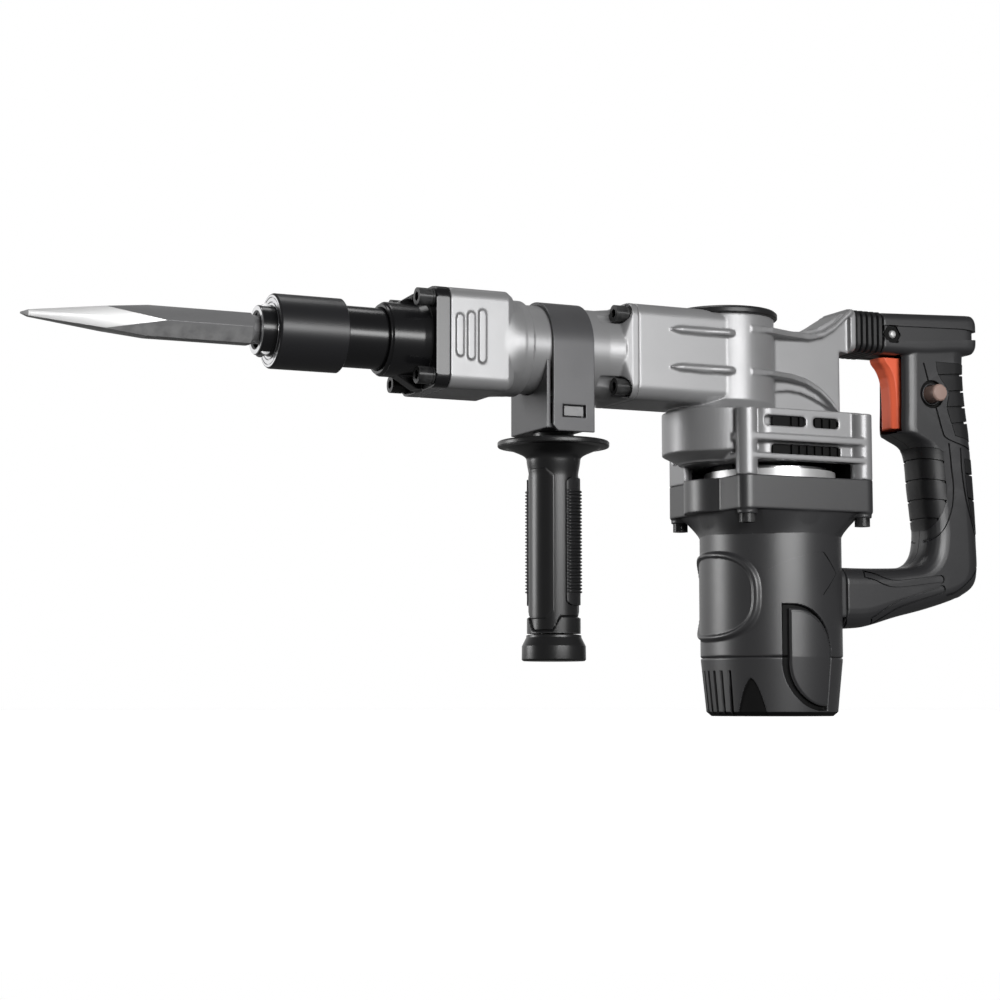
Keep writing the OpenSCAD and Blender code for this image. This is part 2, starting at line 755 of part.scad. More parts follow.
module piston_seal() {
    color([0.1, 0.1, 0.1]) seal_x(piston_seal_x);
}

module connecting_rod() {
    beam_half = 4;
    color("darkgray") difference() {
        union() {
            translate([pin_x, 0, axis_z - rod_half_t]) cylinder(h = 2 * rod_half_t, r = big_eye_r);
            translate([wrist_x, 0, axis_z - rod_half_t]) cylinder(h = 2 * rod_half_t, r = rod_eye_r);
            translate([wrist_x, -beam_half, axis_z - beam_half])
                cube([pin_x - wrist_x, 2 * beam_half, 2 * beam_half]);
        }
        translate([pin_x, 0, axis_z - rod_half_t - eps])
            cylinder(h = 2 * rod_half_t + 2 * eps, r = crank_pin_r + run_gap);
        translate([wrist_x, 0, axis_z - rod_half_t - eps])
            cylinder(h = 2 * rod_half_t + 2 * eps, r = wrist_r + 0.02);
    }
}

module wrist_pin() {
    color("silver") translate([wrist_x, 0, axis_z - wrist_half]) cylinder(h = 2 * wrist_half, r = wrist_r);
}

// ---------- crank drive ----------

module crankshaft() {
    web_r = 18;
    shaft_foot = drum_floor_z + 3.5;
    key_w = 3;
    color("slategray") translate([crank_x, 0, 0]) {
        translate([0, 0, shaft_foot]) cylinder(h = gear_z - shaft_foot, r = lower_shaft_r);
        translate([0, 0, gear_z - eps]) cylinder(h = web_z - gear_z + 2 * eps, r = crank_shaft_r);
        translate([0, 0, web_z]) cylinder(h = web_t, r = web_r);
        translate([crank_throw, 0, web_z + web_t - eps])
            cylinder(h = axis_z + rod_half_t + 1.5 - web_z - web_t, r = crank_pin_r);
        translate([crank_shaft_r - 1, -key_w / 2, gear_z]) cube([2.2, key_w, gear_face]);
    }
}

module crank_gear() {
    key_w = 3;
    color("darkkhaki") translate([crank_x, 0, gear_z]) difference() {
        rotate([0, 0, 180 / gear_teeth]) linear_extrude(gear_face)
            polygon(gear_points(gear_teeth, gear_module));
        translate([0, 0, -eps]) cylinder(h = gear_face + 2 * eps, r = crank_shaft_r + 0.02);
        translate([crank_shaft_r - 1, -key_w / 2 - 0.02, -eps])
            cube([2.25, key_w + 0.04, gear_face + 2 * eps]);
        for (a = [45 : 90 : 315]) rotate([0, 0, a]) translate([17.5, 0, -eps])
            cylinder(h = gear_face + 2 * eps, r = 4);
    }
}

// A ball bearing: two races, a row of balls and a shield between them, as one closed solid.
module ball_bearing(r_out, r_in, h) {
    dish = 0.6;
    mid = (r_out + r_in) / 2;
    difference() {
        ring(r_out, r_in, h);
        for (z = [-eps, h - dish + eps]) translate([0, 0, z])
            ring(mid + (r_out - r_in) / 5, mid - (r_out - r_in) / 5, dish);
    }
}

module crank_bearings() {
    color("lightgray") translate([crank_x, 0, 0]) {
        translate([0, 0, web_z - 1 - crank_bearing_t])
            ball_bearing(crank_bearing_r, crank_shaft_r + 0.02, crank_bearing_t);
        translate([0, 0, drum_floor_z + 4]) ball_bearing(lower_bearing_r, lower_shaft_r + 0.02, 3.5);
    }
}

// ---------- gearcase ----------

// Plan of the motor flange and the cage's shelves: the four screw corners and their straight sides.
module corner_plan(bulge_r) {
    hx = flange_screw_x;
    hy = flange_screw_y;
    square([2 * (hx + post_r), 2 * hy], center = true);
    square([2 * hx, 2 * (hy + post_r)], center = true);
    for (i = [-1, 1], j = [-1, 1]) translate([i * hx, j * hy]) circle(post_r);
    translate([crank_x, 0]) circle(bulge_r);
}

// Plan of the vent cage's outer wall, shrunk by inset.
module cage_plan(inset) {
    translate([7, 0]) round_rect(cage_half - 2 - inset, cage_half - inset, 9 - inset);
}

// The raised spindle-shaped rib on the crank housing's sides.
module spindle_rib(x0, x1, z, y) {
    half = 2;
    mid = (x0 + x1) / 2;
    translate([mid, y, axis_z + z]) scale_rib((x1 - x0) / 2, half);
}

module scale_rib(half_len, half_h) {
    r = (half_len * half_len + half_h * half_h) / (2 * half_h);
    rotate([90, 0, 0]) translate([0, 0, -1.6]) linear_extrude(3.2) intersection() {
        translate([0, r - half_h]) circle(r, $fn = 180);
        translate([0, half_h - r]) circle(r, $fn = 180);
    }
}

// Side outline of the rear web between the crank housing and the handle's end plate.
module web_outline() {
    polygon([
        [crank_x, -deck_drop - 2], [web_x, -deck_drop - 2], [web_x, 11], [plate_x - 4, bar_bottom - 2],
        [plate_x - 4, bar_top - 1.5], [44, bar_top - 3], [36, bar_top - 8], [26, bar_top - 13.5],
        [15, 21.5], [0, 20.5], [crank_x, 20.5]]);
}

// Plan of the ledges: they leave the crank housing's sides and close in to the web's half width w.
module ledge_plan(w) {
    side = [[crank_x + 2, crank_house_r + 0.4], [crank_x + 18, crank_house_r - 1.6], [2, w + 4.5],
        [14, w + 1.2], [24, w], [plate_x, w]];
    polygon(concat(side, [for (i = [len(side) - 1 : -1 : 0]) [side[i][0], -side[i][1]]]));
}

// The curved upper ledge of the rear web.
module upper_ledge() {
    t = 3.6;
    pts = [[crank_x + 2, 15.4], [-12, 16], [8, 16], [20, 16], [30, 18.6], [38, 23.5], [45, 30],
        [plate_x - 3, bar_top - 3]];
    polygon(concat([for (p = pts) p], [for (i = [len(pts) - 1 : -1 : 0]) [pts[i][0], pts[i][1] + t]]));
}

// The curved lower ledge of the rear web.
module lower_ledge() {
    t = 3.4;
    pts = [[crank_x + 2, -7], [-12, -6.5], [4, -6.5], [16, -8.5], [26, -13], [34, -19.5], [40, -27],
        [web_x, -deck_drop]];
    polygon(concat([for (p = pts) p], [for (i = [len(pts) - 1 : -1 : 0]) [pts[i][0], pts[i][1] - t]]));
}

module gearcase() {
    chamber_r = crank_house_r - cast_wall;
    cage_floor = drum_floor_z + 1.7;
    slot_h = 6;
    color([0.75, 0.75, 0.76]) difference() {
        union() {
            box_x(gear_front_x, crank_x, box_half_w, box_half_h, box_corner);
            translate([crank_x, 0, deck_z - 4])
                cylinder(h = deck_drop + crank_house_h + 4, r = crank_house_r);
            // Fillet cone from the crank housing to the drum.
            translate([crank_x, 0, deck_z - eps])
                cylinder(h = 5, r1 = drum_r - 1.5, r2 = crank_house_r - eps);
            translate([crank_x, 0, drum_z]) cylinder(h = drum_h, r = drum_r);
            translate([crank_x, 0, drum_floor_z])
                cylinder(h = drum_cone_h + eps, r1 = drum_r - 13, r2 = drum_r);
            translate([0, 0, drum_floor_z]) cylinder(h = drum_h + drum_cone_h, r = 18);
            // Vent cage: the roof, the outer wall, two shelves and four posts.
            translate([0, 0, cage_floor]) linear_extrude(deck_z - cage_floor) cage_plan(0);
            translate([0, 0, deck_z - 20.4]) linear_extrude(4.2) corner_plan(drum_r - 6);
            translate([0, 0, cage_floor - 1]) linear_extrude(3.3) corner_plan(drum_r - 10);
            at_flange_corners(flange_top) cylinder(h = cage_h - 1, r = post_r);
            translate([5, -web_half_w - 6, deck_z - 8]) cube([web_x - 5, 2 * web_half_w + 12, 8]);
            // Rear web, its ledges and the end plate.
            side_plate(web_half_w) web_outline();
            intersection() {
                side_plate(crank_house_r + 0.4) union() {
                    upper_ledge();
                    lower_ledge();
                }
                linear_extrude(2 * axis_z) ledge_plan(web_half_w + 4.5);
            }
            // Skirt on the far side that leads the cooling air.
            translate([0, 0, flange_top]) linear_extrude(cage_floor - 1 - flange_top + eps)
                intersection() {
                    difference() {
                        corner_plan(drum_r - 13);
                        offset(delta = -3) corner_plan(drum_r - 13);
                    }
                    translate([-2 * drum_r, 8]) square([4 * drum_r, 2 * drum_r]);
                }
            box_x(plate_x - 4.2, plate_x, bar_half_w - 0.6, bar_half + 0.8, 5, bar_mid);
            box_x(plate_x - 1, yoke_bolt[0] + 7, yoke_half, yoke_half, 1.5, bar_mid);
            for (s = [-1, 1], z = [13.7, -8.9]) spindle_rib(crank_x - 51.4, crank_x - 8, z, s * box_half_w);
        }
        // Crank chamber, barrel passage and the seat of the cylinder liner.
        translate([crank_x, 0, web_z - 0.8]) cylinder(h = 60, r = chamber_r);
        rod_x(gear_front_x - eps, crank_x, liner_bore_r);
        rod_x(gear_front_x - eps, liner_rear_x + 0.1, liner_r + 0.02);
        // Crank bearing, gear drum and lower bearing.
        translate([crank_x, 0, web_z - 1.1 - crank_bearing_t])
            cylinder(h = crank_bearing_t + 1, r = crank_bearing_r + 0.02);
        translate([crank_x, 0, gear_top + 2]) cylinder(h = web_z - gear_top, r = crank_shaft_r + 2);
        translate([crank_x, 0, gear_z - 1]) cylinder(h = gear_face + 4, r = drum_r - cast_wall);
        translate([crank_x, 0, drum_floor_z + 3]) cylinder(h = 12, r = lower_bearing_r + 0.02);
        // Armature pinion.
        translate([0, 0, drum_floor_z - 3]) cylinder(h = gear_top - drum_floor_z + 5, r = 8.5);
        // Air space of the vent cage around the gear drum, open below.
        difference() {
            translate([0, 0, cage_floor - 2]) linear_extrude(deck_z - cage_floor - 1.5)
                cage_plan(cast_wall - 1);
            translate([crank_x, 0, cage_floor - 3]) cylinder(h = 50, r = drum_r);
            translate([crank_x, 0, cage_floor - 3]) cylinder(h = 50, r1 = drum_r - 16, r2 = drum_r + 30);
            translate([0, 0, cage_floor - 3]) cylinder(h = 50, r = 18);
        }
        // Two short upper slots and one long lower slot in each side.
        for (s = [-1, 1]) translate([0, s * cage_half, 0]) {
            for (p = [[-13, 14], [15, 9]]) translate([p[0], 0, deck_z - 7.6]) rotate([90, 0, 0])
                linear_extrude(10, center = true) round_rect(p[1], slot_h / 2, 2.4);
            translate([1, 0, deck_z - 25.4]) rotate([90, 0, 0])
                linear_extrude(10, center = true) round_rect(24, slot_h / 2 + 0.8, 2.4);
        }
        // Pocket in the top of the rear web and the bolt hole of the yoke.
        translate([6, -web_half_w + 3.5, axis_z + 15]) cube([20, 2 * web_half_w - 7, 12]);
        translate([yoke_bolt[0], 30, axis_z + yoke_bolt[1]]) rotate([90, 0, 0])
            cylinder(h = 60, r = m6_r + screw_gap);
        // Seat of the cap over the crank housing.
        translate([crank_x, 0, axis_z + crank_house_h]) cylinder(h = 10, r = cap_r + free_gap);
        at_corners_x(gear_front_x - eps, case_screw_y, case_screw_z) rotate([0, 90, 0])
            cylinder(h = 14, r = m6_r + 0.02);
        at_flange_corners(flange_top - eps) cylinder(h = 16, r = m6_r - 0.5 + 0.02);
    }
}

module crank_cap() {
    top = axis_z + crank_house_h;
    color([0.24, 0.24, 0.25]) {
        translate([crank_x, 0, top]) cylinder(h = cap_t - 1, r = cap_r);
        translate([crank_x, 0, top + cap_t - 1 - eps]) cylinder(h = 1 + eps, r1 = cap_r, r2 = cap_r - 1.2);
        translate([crank_x, 0, top - 5])
            ring(crank_house_r - cast_wall - 0.02, crank_house_r - cast_wall - 3, 5 + eps);
    }
}

// ---------- motor ----------

module bearing_plate() {
    spokes = 4;
    color("whitesmoke") difference() {
        union() {
            translate([0, 0, flange_top])
                ring(bearing_plate_r, bearing_plate_r - 4, plate_top - flange_top - 0.8);
            translate([0, 0, flange_top - 3]) cylinder(h = 5, r = upper_bearing_r + 3.5);
            for (a = [0 : spokes - 1]) rotate([0, 0, 45 + 90 * a]) translate([0, -4, flange_top])
                cube([bearing_plate_r - 2, 8, 2]);
            translate([0, 0, flange_top - 3]) ring(upper_bearing_r + 3.5, upper_bearing_r + 0.02, 9);
        }
        translate([0, 0, flange_top - 1]) cylinder(h = 20, r = upper_bearing_r + 0.02);
        translate([0, 0, flange_top - 4]) cylinder(h = 6, r = shaft_r + 3);
    }
}

module armature_shaft() {
    color("silver") {
        translate([0, 0, base_bearing_z - 1])
            cylinder(h = commutator_z - base_bearing_z - 5, r = tail_shaft_r);
        translate([0, 0, commutator_z - 6 - eps])
            cylinder(h = flange_top + 8 - commutator_z + 6, r = shaft_r);
        translate([0, 0, flange_top + 8 - eps]) cylinder(h = gear_z - flange_top - 8 + 2 * eps, r = 3.7);
        translate([0, 0, gear_z]) linear_extrude(gear_face + 1)
            polygon(gear_points(pinion_teeth, gear_module));
    }
}

module armature_core() {
    slots = 12;
    end_h = 7;
    bore = shaft_r + 0.02;
    color("saddlebrown") {
        difference() {
            translate([0, 0, core_z]) cylinder(h = core_len, r = core_r);
            translate([0, 0, core_z - eps]) cylinder(h = core_len + 2 * eps, r = bore);
            for (i = [0 : slots - 1]) rotate([0, 0, i * 360 / slots])
                translate([core_r - 3, -0.9, core_z - eps]) cube([4, 1.8, core_len + 2 * eps]);
        }
        for (z = [core_z - end_h, core_z + core_len - eps]) translate([0, 0, z])
            ring(core_r - 5, bore, end_h + eps);
    }
}

module commutator() {
    bars = 12;
    color("peru") difference() {
        translate([0, 0, commutator_z]) ring(commutator_r, shaft_r + 0.02, commutator_h);
        for (i = [0 : bars - 1]) rotate([0, 0, i * 360 / bars])
            translate([commutator_r - 0.8, -0.3, commutator_z - eps])
                cube([2, 0.6, commutator_h + 2 * eps]);
    }
}

module cooling_fan() {
    blades = 12;
    color([0.2, 0.2, 0.2]) {
        translate([0, 0, fan_z]) ring(10, shaft_r + 0.02, fan_h);
        translate([0, 0, fan_z]) ring(fan_r, 9.9, 2);
        for (i = [0 : blades - 1]) rotate([0, 0, i * 360 / blades])
            translate([9.5, -0.8, fan_z + 1.5]) cube([fan_r - 10, 1.6, fan_h - 1.5]);
    }
}

module armature_bearings() {
    color("lightgray") {
        translate([0, 0, flange_top - 0.9]) ball_bearing(upper_bearing_r, shaft_r + 0.02, 6.8);
        translate([0, 0, base_bearing_z]) ball_bearing(base_bearing_r, tail_shaft_r + 0.02, base_bearing_t);
    }
}

module stator_core() {
    color("gray") difference() {
        translate([0, 0, core_z]) cylinder(h = core_len, r = stator_out_r);
        translate([0, 0, core_z - eps]) cylinder(h = core_len + 2 * eps, r = stator_in_r);
        for (s = [-1, 1]) translate([-13, s > 0 ? 24 : -33, core_z - eps])
            cube([26, 9, core_len + 2 * eps]);
    }
}

module field_coils() {
    color("chocolate") for (s = [-1, 1]) translate([-12.8, s > 0 ? 26.3 : -32.8, core_z - 6])
        cube([25.6, 6.5, core_len + 11]);
}

module brush_holders() {
    color([0.55, 0.45, 0.2]) for (s = [0, 180]) rotate([0, 0, s]) difference() {
        translate([-6, commutator_r + 1.5, brush_z - 6])
            cube([12, motor_r - motor_wall - commutator_r - 3.5, 12]);
        translate([-brush_half - 0.1, commutator_r, brush_z - brush_half - 0.1])
            cube([2 * brush_half + 0.2, motor_r, 2 * brush_half + 0.2]);
    }
}

module carbon_brushes() {
    color([0.2, 0.2, 0.22]) for (s = [0, 180]) rotate([0, 0, s])
        translate([-brush_half, commutator_r + 0.3, brush_z - brush_half])
            cube([2 * brush_half, 18, 2 * brush_half]);
}

// Outline of the brush cover seen from the side, in x and z: a leaf with two opposite corners rounded.
module brush_cover_outline(grow) {
    left = -15.3 - grow;
    right = 17.4 + grow;
    low = 5 - grow;
    high = 65.4 + grow;
    r = 28 + grow;
    step = 6;
    polygon(concat(
        [for (a = [0 : step : 90]) [right - r + r * cos(a), high - r + r * sin(a)]], [[left, high]],
        [for (a = [180 : step : 270]) [left + r + r * cos(a), low + r + r * sin(a)]], [[right, low]]));
}

module brush_covers() {
    color([0.3, 0.3, 0.31]) for (s = [0, 180]) rotate([0, 0, s]) intersection() {
        rotate([90, 0, 0]) linear_extrude(60) brush_cover_outline(0);
        difference() {
            motor_form(0.5);
            motor_form(-brush_skin);
        }
    }
}

// The recesses of the two brush covers in the motor's outer wall.
module brush_recesses() {
    for (s = [0, 180]) rotate([0, 0, s]) difference() {
        rotate([90, 0, 0]) linear_extrude(60) brush_cover_outline(free_gap);
        motor_form(-brush_skin - 0.1);
    }
}

// The turned outline of the motor housing and end cap, grown by g.
module motor_form(g) {
    chamfer = 2.6;
    foot_r = motor_r - 3.3 + g;
    cylinder(h = chamfer + eps, r1 = base_r + g, r2 = foot_r);
    translate([0, 0, chamfer]) cylinder(h = end_cap_h - chamfer + eps, r1 = foot_r, r2 = motor_r + g);
    translate([0, 0, end_cap_h]) cylinder(h = flange_z - end_cap_h, r = motor_r + g);
}

module motor_housing() {
    inner_r = motor_r - motor_wall;
    color([0.33, 0.33, 0.34]) difference() {
        union() {
            translate([0, 0, end_cap_h + 0.05]) cylinder(h = flange_top - end_cap_h - 0.05, r = motor_r);
            translate([0, 0, flange_z]) linear_extrude(flange_t) corner_plan(drum_r - 13);
            // Cone and four bosses under the flange.
            translate([0, 0, flange_z - 11]) cylinder(h = 11 + eps, r1 = motor_r - eps,
                r2 = flange_screw_y + post_r - 0.7);
            at_flange_corners(flange_z - 3) cylinder(h = 3 + eps, r = post_r - 0.8);
            // Raised pad facing the side handle.
            intersection() {
                translate([0, 0, 45.5]) ring(motor_r + 1.5, motor_r - 1, 53);
                rotate([90, 0, -90]) translate([0, 0, 10]) linear_extrude(40)
                    translate([0, 72]) round_rect(33, 26.5, 15);
            }
            // Socket for the rear handle's lower arm.
            translate([arm_peg_x, 0, arm_z]) rotate([90, 0, 90]) linear_extrude(8.2)
                round_rect(grip_half_w - 0.8, 18, 8);
            translate([arm_peg_x, 0, arm_z]) rotate([90, 0, 90]) linear_extrude(arm_peg_len)
                round_rect(arm_peg_half[0], arm_peg_half[1], 3);
        }
        translate([0, 0, end_cap_h - eps]) cylinder(h = flange_top - end_cap_h + 2 * eps, r = inner_r);
        at_flange_corners(flange_z - 4) cylinder(h = flange_t + 6, r = m6_r - 0.5 + screw_gap);
        brush_recesses();
        translate([0, motor_r, brush_z]) rotate([90, 0, 0]) cylinder(h = 2 * motor_r, r = brush_half + 1.5);
    }
}

module motor_flange_screws() {
    r = m6_r - 0.5;
    head_r = 4.6;
    color("black") at_flange_corners(flange_z - 3) mirror([0, 0, 1]) difference() {
        union() {
            cylinder(h = 5, r = head_r);
            translate([0, 0, -3 - flange_t - 12]) cylinder(h = 3 + flange_t + 12 + eps, r = r);
        }
        translate([0, 0, 2.4]) cylinder(h = 3, r = 2.4, $fn = 6);
    }
}

module motor_end_cap() {
    vents = 6;
    color([0.32, 0.32, 0.33]) difference() {
        intersection() {
            motor_form(0);
            cylinder(h = end_cap_h, r = motor_r + 1);
        }
        translate([0, 0, 3.5]) cylinder(h = end_cap_h, r = motor_r - motor_wall - 3);
        translate([0, 0, end_cap_h - 8]) cylinder(h = 9, r = motor_r - motor_wall);
        for (i = [0 : vents - 1]) rotate([0, 0, 180 + 10 * (i - (vents - 1) / 2)])
            translate([30, -1.6, 5]) cube([20, 3.2, 23]);
        brush_recesses();
        for (a = [45 : 90 : 315]) rotate([0, 0, a]) translate([30, 0, -eps]) {
            cylinder(h = 10, r = m4_r + screw_gap);
            cylinder(h = 2.5, r = m4_head_r + 0.2);
        }
    }
    color([0.32, 0.32, 0.33]) difference() {
        translate([0, 0, 3.5 - eps])
            cylinder(h = base_bearing_z + base_bearing_t - 4, r = base_bearing_r + 3);
        translate([0, 0, base_bearing_z - 0.05]) cylinder(h = 20, r = base_bearing_r + 0.02);
        translate([0, 0, base_bearing_z - 3]) cylinder(h = 20, r = tail_shaft_r + 2);
    }
}

module end_cap_screws() {
    color("black") for (a = [45 : 90 : 315]) rotate([0, 0, a]) translate([30, 0, 0.3]) difference() {
        union() {
            cylinder(h = 2, r = m4_head_r);
            cylinder(h = 10, r = m4_r);
        }
        translate([0, 0, -eps]) cylinder(h = 1.2, r = 1.2, $fn = 6);
    }
}

// ---------- side handle ----------

module clamp_strap() {
    r_in = barrel_r + run_gap;
    leg_z = axis_z - strap_leg;
    slot_half = 7.4;
    slot_half_h = 3.6;
    cut = 3;
    color([0.3, 0.3, 0.31]) difference() {
        union() {
            rod_x(side_ax - strap_w / 2, side_ax + strap_w / 2, strap_r);
            for (s = [-1, 1]) translate([side_ax - strap_w / 2, s > 0 ? r_in : -strap_r, leg_z])
                cube([strap_w, strap_t, strap_leg]);
        }
        rod_x(side_ax - strap_w, side_ax + strap_w, r_in);
        translate([side_ax - strap_w, -r_in + 0.4, leg_z - 1])
            cube([2 * strap_w, 2 * r_in - 0.8, strap_leg - 8]);
        for (s = [-1, 1]) translate([side_ax - slot_half, s * barrel_r - 5, slot_z - slot_half_h])
            cube([2 * slot_half, 10, 2 * slot_half_h]);
        // Cut-off lower front corners.
        for (s = [-1, 1]) translate([side_ax - strap_w / 2, s * barrel_r, leg_z]) rotate([0, 45, 0])
            cube([sqrt(2) * cut, 10, sqrt(2) * cut], center = true);
    }
}

module handle_bracket() {
    front_x = side_ax - 16;
    half_w = barrel_r - 1;
    top_z = axis_z - barrel_r - free_gap;
    color([0.34, 0.34, 0.35]) difference() {
        union() {
            // Front wall, folded floor and a saddle block under the barrel.
            translate([front_x, -half_w, bracket_z]) cube([bracket_t, 2 * half_w, axis_z - bracket_z - 4]);
            translate([front_x, -half_w, bracket_z]) cube([29, 2 * half_w, bracket_t]);
            translate([side_ax - 11, -half_w, bracket_z]) cube([22, 2 * half_w, 15]);
        }
        rod_x(front_x - 1, front_x + 40, barrel_r + free_gap);
        translate([side_ax, 0, bracket_z - 1]) cylinder(h = 30, r = stud_r + 0.3);
        translate([side_ax - nut_half - 0.1, -30, slot_z - nut_half_h - 0.1])
            cube([2 * nut_half + 0.2, 60, 2 * nut_half_h + 0.2]);
    }
}

// The bar nut whose ends show in the strap's slots and into which the grip's stud is screwed.
module clamp_nut() {
    half_l = barrel_r + 1.2;
    color([0.55, 0.55, 0.56]) difference() {
        translate([side_ax - nut_half, -half_l, slot_z - nut_half_h])
            cube([2 * nut_half, 2 * half_l, 2 * nut_half_h]);
        translate([side_ax, 0, slot_z - 10]) cylinder(h = 20, r = stud_r + run_gap);
    }
}

module clamp_stud() {
    top = slot_z + nut_half_h - 1;
    color("silver") {
        translate([side_ax, 0, nut_socket_z]) cylinder(h = top - nut_socket_z, r = stud_r);
        translate([side_ax, 0, nut_socket_z]) cylinder(h = nut_socket_h, r = 7, $fn = 6);
    }
}

module side_grip() {
    ring_r2 = grip_r + 1.3;
    color([0.1, 0.1, 0.11]) translate([side_ax, 0, 0]) difference() {
        union() {
            translate([0, 0, guard_top - 3]) cylinder(h = 3, r = guard_r);
            translate([0, 0, guard_top - 5]) cylinder(h = 2 + eps, r1 = guard_r - 4, r2 = guard_r);
            translate([0, 0, guard_top - 15]) cylinder(h = 10 + eps, r1 = grip_r + 2, r2 = guard_r - 9);
            translate([0, 0, guard_top - eps]) cylinder(h = bracket_z - free_gap - guard_top + eps, r = 12);
            translate([0, 0, grip_top]) cylinder(h = neck_z - grip_top + eps, r1 = grip_r, r2 = grip_r + 2);
            translate([0, 0, grip_end]) cylinder(h = grip_top - grip_end + eps, r = grip_r);
            translate([0, 0, pommel_z + pommel_h])
                cylinder(h = grip_end - pommel_z - pommel_h + eps, r = ring_r2);
        }
        translate([0, 0, nut_socket_z]) cylinder(h = 40, r = stud_r + 0.02);
        translate([0, 0, nut_socket_z - 0.02]) cylinder(h = nut_socket_h + 0.04, r = 7.03, $fn = 6);
        for (s = [0, 180]) rotate([0, 0, s + pad_angle]) pad_block(0.02);
    }
}

// The seat of one ribbed pad in the grip's side, grown by g.
module pad_block(g) {
    half_w = 8.8;
    h = grip_top - grip_end - 6;
    translate([grip_r - 1.6 - g, -half_w - g, grip_end + 3 - g]) cube([8, 2 * (half_w + g), h + 2 * g]);
}

module side_grip_pads() {
    pad_r = grip_r + 1.2;
    pitch = 1.95;
    ribs = floor((grip_top - grip_end - 9) / pitch);
    color([0.07, 0.07, 0.07]) translate([side_ax, 0, 0]) for (s = [0, 180]) rotate([0, 0, s + pad_angle])
        intersection() {
        pad_block(0);
        union() {
            translate([0, 0, grip_end]) cylinder(h = grip_top - grip_end, r = pad_r);
            for (i = [0 : ribs]) translate([0, 0, grip_end + 4 + i * pitch])
                cylinder(h = pitch * 0.55, r = pad_r + 0.9);
        }
    }
}

module side_grip_cap() {
    color([0.1, 0.1, 0.11]) translate([side_ax, 0, pommel_z]) {
        cylinder(h = 1 + eps, r1 = pommel_r - 1, r2 = pommel_r);
        translate([0, 0, 1]) cylinder(h = 8 + eps, r = pommel_r);
        translate([0, 0, 9]) cylinder(h = pommel_h - 9 - 0.02, r1 = pommel_r, r2 = grip_r + 1.4);
    }
}

// ---------- rear handle ----------

// The top bar of the handle, shrunk by inset.
module top_bar(inset = 0) {
    hull() {
        box_x(bar_x + inset, bar_x + inset + 1, bar_half_w - inset, bar_half - inset, 6 - inset, bar_mid,
            $fn = hull_fn);
        box_x(handle_rear - 7, handle_rear - 6, bar_half_w - inset, bar_half + bar_rise / 2 - inset,
            6 - inset, bar_mid + bar_rise / 2, $fn = hull_fn);
    }
    bar_end(inset);
}

// The bar's rounded rear end.
module bar_end(inset) {
    hull() {
        box_x(handle_rear - 7, handle_rear - 6, bar_half_w - inset, bar_half + bar_rise / 2 - inset,
            6 - inset, bar_mid + bar_rise / 2, $fn = hull_fn);
        box_x(handle_rear - 1 - inset, handle_rear - inset, bar_half_w - inset - 4,
            bar_half + bar_rise / 2 - inset - 4, 4, bar_mid + bar_rise / 2, $fn = hull_fn);
    }
}

// The zone of the front overmould: the finger side of the grip.
module front_zone() {
    translate([0, 30, axis_z]) rotate([90, 0, 0]) linear_extrude(60) polygon([
        [80, -46.5], [115.9, -48.4], [117.2, -60], [116.8, -78.6], [113.6, -84.4], [109, -88.4],
        [92.2, -101.5], [80, -103]]);
}

// The zone of the rear overmould: two panels on the palm side of the grip.
module rear_zone() {
    translate([0, 30, axis_z]) rotate([90, 0, 0]) linear_extrude(60) {
        polygon([[128, 8], [150, 8], [150, -42], [136, -37], [133, -18]]);
        polygon([[140, -52], [150, -48], [150, -104], [143, -92], [139, -72]]);
    }
}

// The children on the cord gland's axis, which points out of the handle's lower rear corner.
module at_gland(out) {
    translate([gland_at[0], 0, axis_z + gland_at[1]]) rotate([0, 135, 0]) translate([0, 0, out]) children();
}

